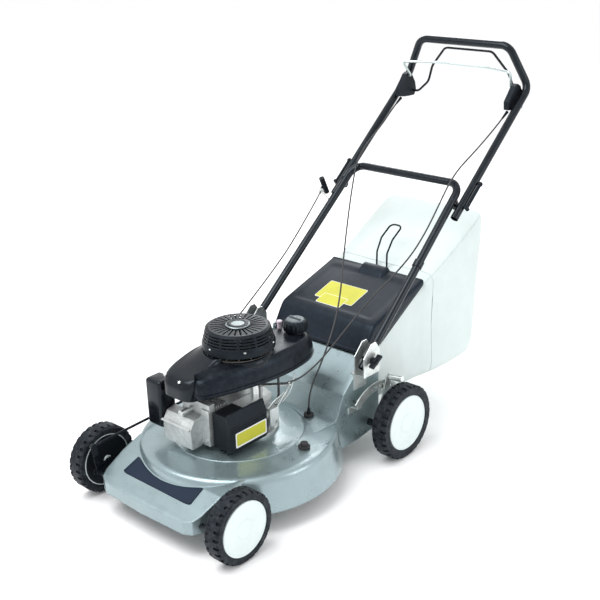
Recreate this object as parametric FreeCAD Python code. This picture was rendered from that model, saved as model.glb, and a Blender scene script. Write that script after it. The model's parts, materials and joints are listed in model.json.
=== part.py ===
import FreeCAD, Part
import math
import os

# Self-propelled petrol lawn mower with a rear grass bag.  Millimetres, +Z up, the front of the
# mower towards -Y and the operator's left towards +X.  Pieces are drawn with Y measured from
# midway between the axles and moved at the end, so that the origin is on the ground under the
# middle of the whole machine.

V = FreeCAD.Vector

# ---- wheels and axles
WHEELBASE = 695.0
FRONT_TYRE_R = 100.0
REAR_TYRE_R = 115.0
FRONT_RIM_R = 77.0
REAR_RIM_R = 85.0
TYRE_WIDTH = 51.0
FRONT_OUTER_X = 304.0
REAR_OUTER_X = 300.0
STUB_R = 6.0
CRANK_ARM_Y = 48.0
CRANK_ARM_Z = 12.0
ARM_PLATE = 5.0
ARM_PLATE_X = 238.0
FRONT_PIVOT_R = 7.0
REAR_TUBE_R = 11.0
SHAFT_R = 6.5
TORSION_DY = 42.0
LINK_ARM = 86.0
LINK_LEAN_DEG = 7.5
LINK_X = 237.0
LINK_R = 4.0
LINK_PIN_R = 3.0
GRIP_Y = 350.0
GRIP_Z = 245.0

# ---- wheel drive
GEAR_MODULE = 2.25
PINION_TEETH = 12
RING_TEETH = 56
GEAR_WIDTH = 12.0
INPUT_Y = 270.0
PULLEY_Z = 146.0
CRANK_PULLEY_R = 30.0
INPUT_PULLEY_R = 34.0
BELT_T = 5.0

# ---- deck
DECK_T = 4.0
DISH_Y = -66.0
SKIRT_R = 300.0
RIM_R = 283.0
SKIRT_Z = 60.0
RIM_Z = 150.0
DECK_TOP_Z = 166.0
PLATFORM_Z = 170.0
PLATFORM_R = 190.0
NOSE_Y = -432.0
NOSE_HALF = 192.0
NOSE_LIP_Z = 104.0
BODY_HALF = 190.0
REAR_FACE_Y = 345.0
WASH_PORT = V(219.0, -26.0, 165.0)
WASH_PORT_R = 11.0
CABLE_EXIT = V(106.0, 120.0, 168.0)
CABLE_EXIT_R = 9.0

# ---- cutting set
CRANK_Y = -46.0
BLADE_R = 262.0
BLADE_W = 50.0
BLADE_T = 4.0
BLADE_Z = 80.0
BLADE_BOLT_X = 38.0
CRANK_R = 12.5

# ---- engine
CASE_R = 86.0
CASE_TOP_Z = 262.0
SHROUD_WALL = 2.5
FLYWHEEL_R = 92.0
FLYWHEEL_Z = 404.0
COVER_R = 104.0
COVER_Z = 426.0
COVER_TOP_Z = 486.0
COVER_TOP_R = 84.0
SLOT_COUNT = 28
ROPE_GROOVE_R = 72.0
TANK_Z = 338.0
TANK_SHOULDER_Z = 362.0
TANK_TOP_Z = 402.0
FILLER = V(38.0, 148.0, 402.0)
BRAKE_PIVOT = V(52.0, -20.0, 303.5)
OIL_CAP = V(-50.0, -20.0, 262.0)
CLEANER_X = 104.0
CLEANER_COVER_X = 119.0
CLEANER_HINGE_Z = 184.0
# plan of the seam between the shroud and the tank, from the front to the rear
SEAM = [(22.0, -240.0), (10.0, -190.0), (6.0, -150.0), (30.0, -104.0), (55.0, -90.0), (55.0, 40.0)]

# ---- handles
TUBE_R = 12.5
TUBE_WALL = 1.8
LEG_FOOT = V(228.0, 219.0, 319.0)
LEG_TOP = V(210.0, 731.0, 751.0)
FOLD_Y = 245.0
KNOB_BOLT_R = 4.0
UPPER_FOOT = V(238.3, 655.0, 664.0)
UPPER_BEND = V(235.3, 1060.0, 1000.0)
UPPER_TOP = V(171.0, 1038.0, 1128.0)
UPPER_FOLD_Y = 690.0
CLAMP_R = 4.0
CLAMP_END_X = 252.0
BEND_R = 45.0
BAIL_R = 4.0
STOP_PIVOT = V(0, 1044.0, 950.0)
DRIVE_PIVOT = V(0, 1018.0, 1003.0)
HOUSING_INNER_X = 204.0
HOUSING_OUTER_X = 221.5

# ---- rear flap and bag
FLAP_HALF = 184.0
FLAP_T = 3.0
FLAP_PIN_R = 4.0
FLAP_PIN_Y = 290.0
FLAP_PIN_Z = 327.0
FLAP_FOLD_Y = 332.0
FLAP_FOLD_Z = 402.0
FLAP_REAR_Y = 576.0
FLAP_REAR_Z = 474.0
BAG_MOUTH_HALF = 172.0
BAG_HALF = 200.0
BAG_WALL = 3.0
BAG_REAR_Y = 850.0
BAG_TOP_Y = 893.0
BAG_TOP_Z = 630.0

# ---- cables, hose and rope: the points of each route, in order
CABLE_R = 2.5
ROPE_R = 2.2
HOSE_R = 3.5
ROPE = [V(-86, 33, 457), V(-139, 236, 522), V(-188, 414, 592), V(-250, 600, 680)]
CLUTCH_CABLE = [V(-212, 984, 932), V(-212, 940, 906), V(-210, 880, 862), V(-206, 815, 828),
                V(-200, 765, 804), V(-189, 714, 768), V(-160, 655, 702), V(-120, 588, 644),
                V(-60, 498, 585), V(-6, 418, 528), V(46, 344, 471), V(84, 274, 416),
                V(106, 214, 366), V(112, 168, 312), V(107, 134, 258), V(106, 120, 210),
                V(106, 120, 160)]
BRAKE_CABLE = [V(212, 977, 933), V(211, 930, 904), V(206, 868, 866), V(198, 806, 828),
               V(190, 752, 797), V(186, 704, 760), V(186, 650, 702), V(186, 592, 640),
               V(180, 528, 578), V(160, 462, 522), V(140, 396, 478), V(130, 332, 436),
               V(126, 268, 398), V(124, 212, 366), V(126, 156, 340), V(126, 100, 322),
               V(122, 62, 314), V(114, 40, 311.5)]
FUEL_LINE = [V(104, 0, 338), V(104, 0, 306), V(107, -4, 276), V(107, -24, 254)]

# ---- clearances
RUN = 0.05
GAP = 0.4

# ---- places that follow from the sizes above
X_AXIS = V(1, 0, 0)
Z_AXIS = V(0, 0, 1)
FRONT_Y = -WHEELBASE / 2.0
REAR_Y = WHEELBASE / 2.0
FRONT_PIVOT = V(0, FRONT_Y - CRANK_ARM_Y, FRONT_TYRE_R - CRANK_ARM_Z)
REAR_PIVOT = V(0, REAR_Y - CRANK_ARM_Y, REAR_TYRE_R - CRANK_ARM_Z)
LINK_DY = -LINK_ARM * math.sin(math.radians(LINK_LEAN_DEG))
LINK_DZ = LINK_ARM * math.cos(math.radians(LINK_LEAN_DEG))
MESH_ANGLE = math.atan2(CRANK_ARM_Z, CRANK_ARM_Y)
LEG_ALONG = LEG_TOP.sub(LEG_FOOT).normalize()
FOLD_Z = LEG_FOOT.z + (FOLD_Y - LEG_FOOT.y) * LEG_ALONG.z / LEG_ALONG.y
UPPER_ALONG = UPPER_BEND.sub(UPPER_FOOT).normalize()
UPPER_NORMAL = V(0, -UPPER_ALONG.z, UPPER_ALONG.y)
UPPER_FOLD_Z = UPPER_FOOT.z + (UPPER_FOLD_Y - UPPER_FOOT.y) * UPPER_ALONG.z / UPPER_ALONG.y
ROPE_ALONG = ROPE[-1].sub(ROPE[-2]).normalize()


def box(x0, x1, y0, y1, z0, z1):
    """Block between two corners."""
    return Part.makeBox(x1 - x0, y1 - y0, z1 - z0, V(x0, y0, z0))


def rod(start, end, radius):
    """Round bar from one point to another."""
    along = end.sub(start)
    return Part.makeCylinder(radius, along.Length, start, along)


def disc(x, y, z, radius, height):
    """Upright cylinder standing on a point."""
    return Part.makeCylinder(radius, height, V(x, y, z), Z_AXIS)


def pin(x0, x1, y, z, radius):
    """Round bar across the mower."""
    return Part.makeCylinder(radius, x1 - x0, V(x0, y, z), X_AXIS)


def fuse(shapes):
    """One solid from several that touch or cross."""
    joined = shapes[0]
    for shape in shapes[1:]:
        joined = joined.fuse(shape)
    return joined.removeSplitter()


def side_plate(points, x0, x1):
    """Outline in (y, z), as thick as x0 to x1."""
    corners = [V(x0, y, z) for y, z in points]
    face = Part.Face(Part.makePolygon(corners + corners[:1]))
    return face.extrude(V(x1 - x0, 0, 0))


def plan_plate(points, z0, z1):
    """Outline in (x, y), as high as z0 to z1."""
    corners = [V(x, y, z0) for x, y in points]
    face = Part.Face(Part.makePolygon(corners + corners[:1]))
    return face.extrude(V(0, 0, z1 - z0))


def side_profile_y(points, y0, y1):
    """Outline in (x, z), as long as y0 to y1."""
    corners = [V(x, y0, z) for x, z in points]
    face = Part.Face(Part.makePolygon(corners + corners[:1]))
    return face.extrude(V(0, y1 - y0, 0))


def turned(profile, centre):
    """Profile in (radius, z) turned about an upright axis."""
    corners = [V(radius, 0, height) for radius, height in profile]
    face = Part.Face(Part.makePolygon(corners + corners[:1]))
    solid = face.revolve(V(0, 0, 0), Z_AXIS, 360)
    solid.translate(V(centre.x, centre.y, 0))
    return solid


def wheel_turned(profile, y, z):
    """Profile in (x, radius) turned about an axle across the mower."""
    corners = [V(x, radius, 0) for x, radius in profile]
    face = Part.Face(Part.makePolygon(corners + corners[:1]))
    solid = face.revolve(V(0, 0, 0), X_AXIS, 360)
    solid.translate(V(0, y, z))
    return solid


def mirrored(shape):
    """The same piece for the other side."""
    return shape.mirror(V(0, 0, 0), X_AXIS)


def bent_path(points, radii):
    """Straight runs joined by tangent arcs; each inner point has its radius."""
    edges = []
    start = points[0]
    for index in range(1, len(points) - 1):
        corner = points[index]
        back = points[index - 1].sub(corner).normalize()
        ahead = points[index + 1].sub(corner).normalize()
        half = (math.pi - back.getAngle(ahead)) / 2.0
        radius = radii[index - 1]
        setback = radius * math.tan(half)
        first = corner.add(back * setback)
        last = corner.add(ahead * setback)
        inward = back.add(ahead).normalize()
        middle = corner.add(inward * (radius / math.cos(half) - radius))
        edges.append(Part.LineSegment(start, first).toShape())
        edges.append(Part.Arc(first, middle, last).toShape())
        start = last
    edges.append(Part.LineSegment(start, points[-1]).toShape())
    return Part.Wire(edges)


def swept(path, radius):
    """Round section carried along a path."""
    start = path.Edges[0]
    first = start.valueAt(start.FirstParameter)
    direction = start.tangentAt(start.FirstParameter)
    ring = Part.Wire(Part.makeCircle(radius, first, direction))
    return path.makePipeShell([ring], True, True)


def bar(points, bend, radius):
    """Bent round bar with one bend radius."""
    return swept(bent_path(points, [bend] * (len(points) - 2)), radius)


def pipe(points, bend, radius, wall):
    """Bent tube."""
    return bar(points, bend, radius).cut(bar(points, bend, radius - wall))


def cord(name, points, radius):
    """Cable or rope: every arc is as large as its two runs allow."""
    radii = []
    for index in range(1, len(points) - 1):
        back = points[index - 1].sub(points[index])
        ahead = points[index + 1].sub(points[index])
        half = (math.pi - back.getAngle(ahead)) / 2.0
        radii.append(0.45 * min(back.Length, ahead.Length) / math.tan(half))
    path = bent_path(points, radii)
    solid = swept(path, radius)
    ratio = solid.Volume / (math.pi * radius ** 2 * path.Length)
    print(name, "length", round(path.Length, 1), "tightest", round(min(radii)), "fill", round(ratio, 4))
    return solid


def deck_outline(inset):
    """The deck's outside, or with an inset the space inside its wall."""
    bottom = SKIRT_Z - (0.0 if inset == 0 else 5.0)
    top = DECK_TOP_Z - inset
    plate = PLATFORM_Z - inset
    dish = turned([(0, bottom), (SKIRT_R - inset, bottom), (SKIRT_R - inset, SKIRT_Z + 6),
                   (RIM_R - inset, RIM_Z), (RIM_R - 5 - inset, RIM_Z + 8), (RIM_R - 16 - inset, RIM_Z + 13),
                   (PLATFORM_R + 8, top), (PLATFORM_R, plate), (0, plate)], V(0, DISH_Y, 0))
    half = NOSE_HALF - inset
    front = NOSE_Y + inset
    corner = 34.0
    plan = [(-half, front + corner), (-half + 10, front + 12), (-half + corner, front)]
    plan += [(0, front - 6), (half - corner, front), (half - 10, front + 12), (half, front + corner)]
    plan += [(half + 17, -245), (half - 20, DISH_Y), (-half + 20, DISH_Y), (-half - 17, -245)]
    side = [(front - 10, bottom + 6 * (inset == 0)), (front - 10, NOSE_LIP_Z - 8 - inset),
            (front + 3, NOSE_LIP_Z - 1 - inset), (front + 14, NOSE_LIP_Z + 3 - inset),
            (-330, 144 - inset), (-262, 161 - inset), (DISH_Y, top), (DISH_Y, bottom + 6 * (inset == 0))]
    nose = plan_plate(plan, bottom, PLATFORM_Z).common(side_plate(side, -260, 260))
    return dish.fuse(nose)


def rear_roof(drop):
    """Line of the discharge roof, from the platform up to the flap."""
    return [(60, DECK_TOP_Z - drop), (146, 169 - drop), (180 + drop * 0.5, 236 - drop * 0.5),
            (210, 262 - drop), (284, 316 - drop)]


def deck_shell():
    outer = deck_outline(0)
    roof = rear_roof(0)
    floor = [(REAR_FACE_Y, 316), (REAR_FACE_Y, 78), (250, 66), (60, 66)]
    body = side_plate(roof + floor, -BODY_HALF, BODY_HALF)
    shell = outer.fuse(body)
    shell = shell.cut(deck_outline(DECK_T))
    inner = BODY_HALF - DECK_T
    tunnel = rear_roof(DECK_T) + [(REAR_FACE_Y + 5, 312), (REAR_FACE_Y + 5, 142), (252, 138)]
    tunnel += [(222, 104), (60, 104)]
    shell = shell.cut(side_plate(tunnel, -inner, inner))
    under = side_plate([(150, 55), (150, 98), (219, 99), (249, 134), (REAR_FACE_Y + 5, 138),
                        (REAR_FACE_Y + 5, 55)], -inner, inner)
    shell = shell.cut(under.cut(outer))
    shell = shell.cut(disc(0, CRANK_Y, 100, 60, 100))
    shell = shell.cut(disc(0, 270, 90, 16, 60))
    shell = shell.cut(pin(-260, 260, FRONT_PIVOT.y, FRONT_PIVOT.z, FRONT_PIVOT_R + RUN))
    shell = shell.cut(pin(-260, 260, REAR_PIVOT.y, REAR_PIVOT.z, REAR_TUBE_R + RUN))
    for port, radius in ((WASH_PORT, WASH_PORT_R), (CABLE_EXIT, CABLE_EXIT_R)):
        shell = shell.cut(disc(port.x, port.y, port.z - 40, radius, 80))
    ear = side_plate([(278, 312), (304, 312), (299, FLAP_PIN_Z + 7), (290, FLAP_PIN_Z + 10),
                      (281, FLAP_PIN_Z + 7)], 176, 182)
    ears = ear.fuse(mirrored(ear))
    ears = ears.cut(pin(-200, 200, FLAP_PIN_Y, FLAP_PIN_Z, FLAP_PIN_R + RUN))
    return fuse([shell, ears])


def deck_grommets():
    """Rubber cable grommet and the hose plug of the wash port, each seated in its hole."""
    port = WASH_PORT
    plug = disc(port.x, port.y, port.z - 9, WASH_PORT_R, 12)
    plug = plug.fuse(disc(port.x, port.y, port.z + 3, WASH_PORT_R + 6, 4))
    plug = plug.fuse(disc(port.x, port.y, port.z + 7, WASH_PORT_R, 10))
    hole = CABLE_EXIT
    grommet = disc(hole.x, hole.y, hole.z - 10, CABLE_EXIT_R, 12)
    grommet = grommet.fuse(disc(hole.x, hole.y, hole.z + 2, CABLE_EXIT_R + 6, 6))
    grommet = grommet.cut(disc(hole.x, hole.y, hole.z - 18, CABLE_R, 60))
    return Part.makeCompound([plug.removeSplitter(), grommet.removeSplitter()])


def deck_label():
    """Curved blank plate on the slope of the nose."""
    outline = plan_plate([(52, -398), (178, -388), (196, -330), (60, -338)], 80, 200)
    side = [(-420, 108.0), (-330, 144.8), (-262, 161.8), (-262, 163.0), (-330, 146.2), (-420, 109.4)]
    return outline.common(side_plate(side, 0, 260)).cut(deck_outline(0))


def handle_bracket():
    """Bent steel bracket: flange on the deck, floor, and two cheeks around the handle leg."""
    flange = side_plate([(226, 236), (282, 236), (282, 299), (226, 299)], BODY_HALF, BODY_HALF + 3)
    floor = box(BODY_HALF, 244.5, 212, 282, 296, 299)
    cheek_outline = [(208, 296), (282, 296), (282, 366), (264, 392), (244, 392), (208, 356)]
    inner = side_plate(cheek_outline, 208, 211)
    outer = side_plate(cheek_outline, 241.5, 244.5)
    bracket = fuse([flange, floor, inner, outer])
    return bracket.cut(pin(180, 260, FOLD_Y, FOLD_Z, KNOB_BOLT_R + RUN))


def handle_brackets():
    left = handle_bracket()
    return Part.makeCompound([left, mirrored(left)])


def polar(centre, radius, degrees):
    """Point in (y, z) at a distance and an angle above +Y."""
    turn = math.radians(degrees)
    return (centre.y + radius * math.cos(turn), centre.z + radius * math.sin(turn))


def height_quadrant():
    """Sector plate with a row of holes, bent out from the deck's left side."""
    inner_r = 112.0
    outer_r = 140.0
    angles = [34 + 10 * step for step in range(11)]
    outline = [polar(REAR_PIVOT, outer_r, angle) for angle in angles]
    outline += [polar(REAR_PIVOT, inner_r, angle) for angle in reversed(angles)]
    sector = side_plate(outline, 214, 217)
    for step in range(7):
        y, z = polar(REAR_PIVOT, 0.5 * (inner_r + outer_r), 46 + 9 * step)
        sector = sector.cut(pin(200, 230, y, z, 4.0))
    foot = box(BODY_HALF, 217, 212, 232, 186, 189)
    tab = box(BODY_HALF, BODY_HALF + 3, 200, 236, 168, 189)
    lug = side_plate([(212, 186), (232, 186), (232, 206), (212, 206)], 214, 217)
    return fuse([sector, foot, tab, lug])


def tyre(rim_r, tyre_r, outer_x, y, z, lugs):
    """Tyre with square shoulder lugs and a plain centre band."""
    inner_x = outer_x - TYRE_WIDTH
    wall = [(inner_x + 4, rim_r), (outer_x - 4, rim_r), (outer_x, rim_r + 5), (outer_x, tyre_r - 5),
            (outer_x - 5, tyre_r), (inner_x + 5, tyre_r), (inner_x, tyre_r - 5), (inner_x, rim_r + 5)]
    body = wheel_turned(wall, 0, 0)
    groove_w = 2 * math.pi * tyre_r / lugs * 0.42
    groove_depth = 6.0
    shoulder = 17.0
    slots = []
    for step in range(lugs):
        for side in (0, 1):
            start = inner_x - 1 if side == 0 else outer_x - shoulder
            slot = box(start, start + shoulder + 1, -groove_w / 2, groove_w / 2,
                       tyre_r - groove_depth, tyre_r + 5)
            slot.rotate(V(0, 0, 0), X_AXIS, (step + 0.5 * side) * 360.0 / lugs)
            slots.append(slot)
    body = body.cut(Part.makeCompound(slots))
    body.translate(V(0, y, z))
    return body


def front_rim(y, z):
    """Moulded wheel: drum, dished outer disc and hub."""
    outer_x = FRONT_OUTER_X
    inner_x = outer_x - TYRE_WIDTH
    r = FRONT_RIM_R
    hub = STUB_R + 7
    bore = STUB_R + RUN
    profile = [(inner_x + 3, r), (outer_x - 1, r), (outer_x, r - 2), (outer_x - 3, r - 7), (outer_x - 4, 30),
               (outer_x - 1, 24), (outer_x - 1, 0), (outer_x - 3.5, 0), (outer_x - 3.5, bore),
               (inner_x - 4, bore), (inner_x - 4, hub), (outer_x - 9, hub), (outer_x - 8, r - 8),
               (inner_x + 3, r - 4)]
    return wheel_turned(profile, y, z)


def gear_outline(teeth, outward, phase):
    """Trapezoid teeth about the origin in (y, z); outward for a pinion, inward for a ring."""
    pitch_r = GEAR_MODULE * teeth / 2.0
    tip = pitch_r + outward * 0.80 * GEAR_MODULE
    root = pitch_r - outward * 1.15 * GEAR_MODULE
    points = []
    for step in range(teeth):
        middle = (step + phase) * 2 * math.pi / teeth
        half_root = 0.36 * math.pi / teeth * 2 * 0.86
        half_tip = 0.36 * math.pi / teeth * 2 * 0.36
        for radius, offset in ((root, -half_root), (tip, -half_tip), (tip, half_tip), (root, half_root)):
            points.append((radius * math.cos(middle + offset), radius * math.sin(middle + offset)))
    return points


def rear_rim(y, z):
    """Driven wheel: drum, outer disc, hub and an internal ring gear towards the mower."""
    outer_x = REAR_OUTER_X
    inner_x = outer_x - TYRE_WIDTH
    r = REAR_RIM_R
    hub = STUB_R + 7
    bore = STUB_R + RUN
    gear_x = inner_x + 3
    profile = [(gear_x, r), (outer_x - 1, r), (outer_x, r - 2), (outer_x - 3, r - 7), (outer_x - 4, 32),
               (outer_x - 1, 26), (outer_x - 1, 0), (outer_x - 3.5, 0), (outer_x - 3.5, bore),
               (gear_x + GEAR_WIDTH + 3, bore), (gear_x + GEAR_WIDTH + 3, hub), (outer_x - 9, hub),
               (outer_x - 8, r - 8), (gear_x + GEAR_WIDTH + 3, r - 8), (gear_x + GEAR_WIDTH + 3, 71),
               (gear_x, 71)]
    rim = wheel_turned(profile, 0, 0)
    blank = pin(gear_x, gear_x + GEAR_WIDTH, 0, 0, 73)
    # the line of centres runs from the wheel to the pinion: a gap of the ring faces it
    toward = MESH_ANGLE + math.pi
    phase = toward / (2 * math.pi) * RING_TEETH + 0.5
    ring = blank.cut(side_plate(gear_outline(RING_TEETH, -1, phase), gear_x - 1, gear_x + GEAR_WIDTH + 1))
    rim = rim.fuse(ring).removeSplitter()
    rim.translate(V(0, y, z))
    return rim


def pinion():
    gear_x = REAR_OUTER_X - TYRE_WIDTH + 3
    phase = (MESH_ANGLE + math.pi) / (2 * math.pi) * PINION_TEETH
    gear = side_plate(gear_outline(PINION_TEETH, 1, phase), gear_x, gear_x + GEAR_WIDTH)
    gear = gear.cut(pin(gear_x - 1, gear_x + GEAR_WIDTH + 1, 0, 0, SHAFT_R + RUN))
    gear.translate(REAR_PIVOT)
    return gear


def link_plate(start, end, width, x0, x1):
    """Flat arm with round ends between two points in (y, z)."""
    y0, z0 = start
    y1, z1 = end
    length = math.hypot(y1 - y0, z1 - z0)
    across = (-(z1 - z0) / length * width / 2, (y1 - y0) / length * width / 2)
    web = side_plate([(y0 + across[0], z0 + across[1]), (y1 + across[0], z1 + across[1]),
                      (y1 - across[0], z1 - across[1]), (y0 - across[0], z0 - across[1])], x0, x1)
    return fuse([web, pin(x0, x1, y0, z0, width / 2), pin(x0, x1, y1, z1, width / 2)])


def crank_arm(pivot, width):
    """Arm plate from the pivot to the wheel's stub axle."""
    wheel = (pivot.y + CRANK_ARM_Y, pivot.z + CRANK_ARM_Z)
    return link_plate((pivot.y, pivot.z), wheel, width, ARM_PLATE_X, ARM_PLATE_X + ARM_PLATE)


def link_arm(pivot):
    """Arm up to the height link on the right side, with its pin."""
    top = (pivot.y + LINK_DY, pivot.z + LINK_DZ)
    arm = link_plate((pivot.y, pivot.z), top, 18, -LINK_X + LINK_R + GAP, -LINK_X + LINK_R + GAP + 4)
    stud = pin(-LINK_X - LINK_R - 2, -LINK_X + LINK_R + GAP + 1, top[0], top[1], LINK_PIN_R)
    return fuse([arm, stud])


def front_axle():
    """Cross shaft with two crank arms, stub axles and the arm for the height link."""
    y = FRONT_PIVOT.y
    z = FRONT_PIVOT.z
    shaft = pin(-ARM_PLATE_X, ARM_PLATE_X, y, z, FRONT_PIVOT_R)
    arm = crank_arm(FRONT_PIVOT, 26)
    stub = pin(ARM_PLATE_X, FRONT_OUTER_X - 4.5, y + CRANK_ARM_Y, z + CRANK_ARM_Z, STUB_R)
    half = fuse([arm, stub])
    return fuse([shaft, half, mirrored(half), link_arm(FRONT_PIVOT)])


def rear_axle():
    """Two pivot tubes with crank arms, joined by a torsion rod behind the gearbox."""
    y = REAR_PIVOT.y
    z = REAR_PIVOT.z
    tube = pin(176, ARM_PLATE_X + ARM_PLATE, y, z, REAR_TUBE_R)
    arm = crank_arm(REAR_PIVOT, 30)
    inner = link_plate((y, z), (y + TORSION_DY, z), 20, 176, 182)
    stub = pin(ARM_PLATE_X, REAR_OUTER_X - 4.5, y + CRANK_ARM_Y, z + CRANK_ARM_Z, STUB_R)
    half = fuse([tube, arm, inner, stub])
    torsion = pin(-180, 180, y + TORSION_DY, z, 5)
    frame = fuse([half, mirrored(half), torsion, link_arm(REAR_PIVOT)])
    return frame.cut(pin(-270, 270, y, z, SHAFT_R + RUN))


def height_lever():
    """Flat lever on the rear pivot tube with its grip over the wheel."""
    y = REAR_PIVOT.y
    z = REAR_PIVOT.z
    lever = link_plate((y, z), (GRIP_Y, GRIP_Z), 22, 222, 226)
    lever = lever.fuse(pin(222, 234, y, z, 17))
    lever = lever.cut(pin(200, 240, y, z, REAR_TUBE_R))
    stem = rod(V(226, GRIP_Y, GRIP_Z), V(232, GRIP_Y, GRIP_Z), 5)
    knob = rod(V(231, GRIP_Y, GRIP_Z), V(272, GRIP_Y + 4, GRIP_Z + 4), 9)
    return fuse([lever, stem, knob])


def height_link():
    """Rod over the deck's right shoulder from the front arm to the rear arm."""
    ends = [V(-LINK_X, pivot.y + LINK_DY, pivot.z + LINK_DZ) for pivot in (FRONT_PIVOT, REAR_PIVOT)]
    bar_between = rod(ends[0], ends[1], LINK_R)
    eyes = [pin(-LINK_X - LINK_R + 0.8, -LINK_X + LINK_R - 0.8, end.y, end.z, 8) for end in ends]
    link = fuse([bar_between] + eyes)
    for end, slack in zip(ends, (0.5, RUN)):
        link = link.cut(pin(-LINK_X - 20, -LINK_X + 20, end.y, end.z, LINK_PIN_R + slack))
    return link


def drive_shaft():
    reach = REAR_OUTER_X - TYRE_WIDTH + 3 + GEAR_WIDTH + 1.5
    return pin(-reach, reach, REAR_PIVOT.y, REAR_PIVOT.z, SHAFT_R)


def gearbox_housing():
    """Gearbox on the wheel shaft with the bearing neck of its input shaft."""
    y = REAR_PIVOT.y
    z = REAR_PIVOT.z
    body = fuse([pin(-34, 34, y, z, 30), box(-20, 20, 256, y, z - 16, z + 6)])
    neck = disc(0, INPUT_Y, z, 14, 36)
    case = body.fuse(neck)
    case = case.cut(pin(-40, 40, y, z, SHAFT_R + RUN))
    case = case.cut(disc(0, INPUT_Y, z - 10, 6 + RUN, 60))
    post = pin(30, 42, 270, 92, 4)
    return fuse([case, post])


def pulley_groove(radius):
    """Upper half of a flat belt pulley's profile, from its lower rim to its upper rim."""
    rim = radius + 4
    return [(rim, PULLEY_Z - 3), (rim, PULLEY_Z - 1), (radius, PULLEY_Z + 1), (radius, PULLEY_Z + 9),
            (rim, PULLEY_Z + 11), (rim, PULLEY_Z + 12)]


def gearbox_pulley():
    profile = [(0, PULLEY_Z - 3)] + pulley_groove(INPUT_PULLEY_R) + [(0, PULLEY_Z + 12)]
    pulley = turned(profile, V(0, INPUT_Y, 0))
    stem = disc(0, INPUT_Y, REAR_PIVOT.z - 8, 6, PULLEY_Z - REAR_PIVOT.z + 8)
    return fuse([pulley, stem])


def clutch_lever():
    """Lever that tightens the drive inside the gearbox."""
    lever = link_plate((270, 92), (258, 68), 14, 35, 39)
    return lever.cut(pin(30, 45, 270, 92, 4 + RUN))


def drive_belt():
    """Flat run of belt around both pulleys."""
    loops = []
    for offset in (GAP, GAP + BELT_T):
        loop = []
        for y, radius, start in ((CRANK_Y, CRANK_PULLEY_R, 180), (INPUT_Y, INPUT_PULLEY_R, 0)):
            for step in range(13):
                turn = math.radians(start + 15 * step)
                reach = radius + offset
                loop.append((reach * math.cos(turn), y + reach * math.sin(turn)))
        loops.append(loop)
    belt = plan_plate(loops[1], PULLEY_Z + 1, PULLEY_Z + 9)
    return belt.cut(plan_plate(loops[0], PULLEY_Z, PULLEY_Z + 10))


def crankshaft():
    foot = BLADE_Z + BLADE_T
    return disc(0, CRANK_Y, foot, CRANK_R, FLYWHEEL_Z + 34 - foot)


def blade_holder():
    """Keyed hub with the belt pulley above and the blade seat below."""
    seat = BLADE_Z + BLADE_T
    profile = [(CRANK_R, seat), (30, seat), (30, seat + 10), (22, seat + 14), (22, PULLEY_Z - 3)]
    profile += pulley_groove(CRANK_PULLEY_R) + [(CRANK_R, PULLEY_Z + 12)]
    hub = turned(profile, V(0, CRANK_Y, 0))
    ears = box(-48, 48, CRANK_Y - 20, CRANK_Y + 20, seat, seat + 8)
    ears = ears.cut(disc(0, CRANK_Y, seat - 10, CRANK_R, 60))
    bolts = []
    for x in (-BLADE_BOLT_X, BLADE_BOLT_X):
        bolts.append(disc(x, CRANK_Y, BLADE_Z - 5, 4, 24).fuse(disc(x, CRANK_Y, BLADE_Z - 7, 8, 7)))
    return fuse([hub, ears] + bolts)


def blade():
    """Bar with cutting edges and lifted sails at both tips."""
    half = BLADE_W / 2
    flat = box(-BLADE_R, BLADE_R, -half, half, 0, BLADE_T)
    edge = side_plate([(-half - 1, -1), (-half - 1, BLADE_T + 1), (-half + 9, -1)], BLADE_R - 85, BLADE_R + 1)
    flat = flat.cut(edge)
    sail = side_plate([(half - 16, BLADE_T - 1), (half, BLADE_T - 1), (half, BLADE_T + 20),
                       (half - 3, BLADE_T + 20), (half - 12, BLADE_T)], BLADE_R - 75, BLADE_R - 6)
    tip = flat.fuse(sail)
    other = sail.copy()
    other.rotate(V(0, 0, 0), Z_AXIS, 180)
    turned_edge = edge.copy()
    turned_edge.rotate(V(0, 0, 0), Z_AXIS, 180)
    whole = tip.fuse(other).cut(turned_edge)
    whole = whole.common(disc(0, 0, -2, BLADE_R, 40))
    whole.translate(V(0, CRANK_Y, BLADE_Z))
    for x in (-BLADE_BOLT_X, BLADE_BOLT_X):
        whole = whole.cut(disc(x, CRANK_Y, BLADE_Z - 20, 4, 60))
    return whole.removeSplitter()


def flywheel():
    """Rotor on top of the crankshaft with straight fan blades."""
    r = FLYWHEEL_R
    z = FLYWHEEL_Z
    rotor = turned([(CRANK_R, z), (r - 2, z), (r, z + 4), (r, z + 10), (CRANK_R, z + 10)], V(0, CRANK_Y, 0))
    blades = []
    for step in range(16):
        fin = box(50, r - 4, -1.5, 1.5, z + 9, z + 28)
        fin.rotate(V(0, 0, 0), Z_AXIS, step * 360.0 / 16)
        fin.translate(V(0, CRANK_Y, 0))
        blades.append(fin)
    hub = turned([(CRANK_R, z + 9), (30, z + 9), (26, z + 30), (CRANK_R, z + 30)], V(0, CRANK_Y, 0))
    return fuse([rotor, hub] + blades)


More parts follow.
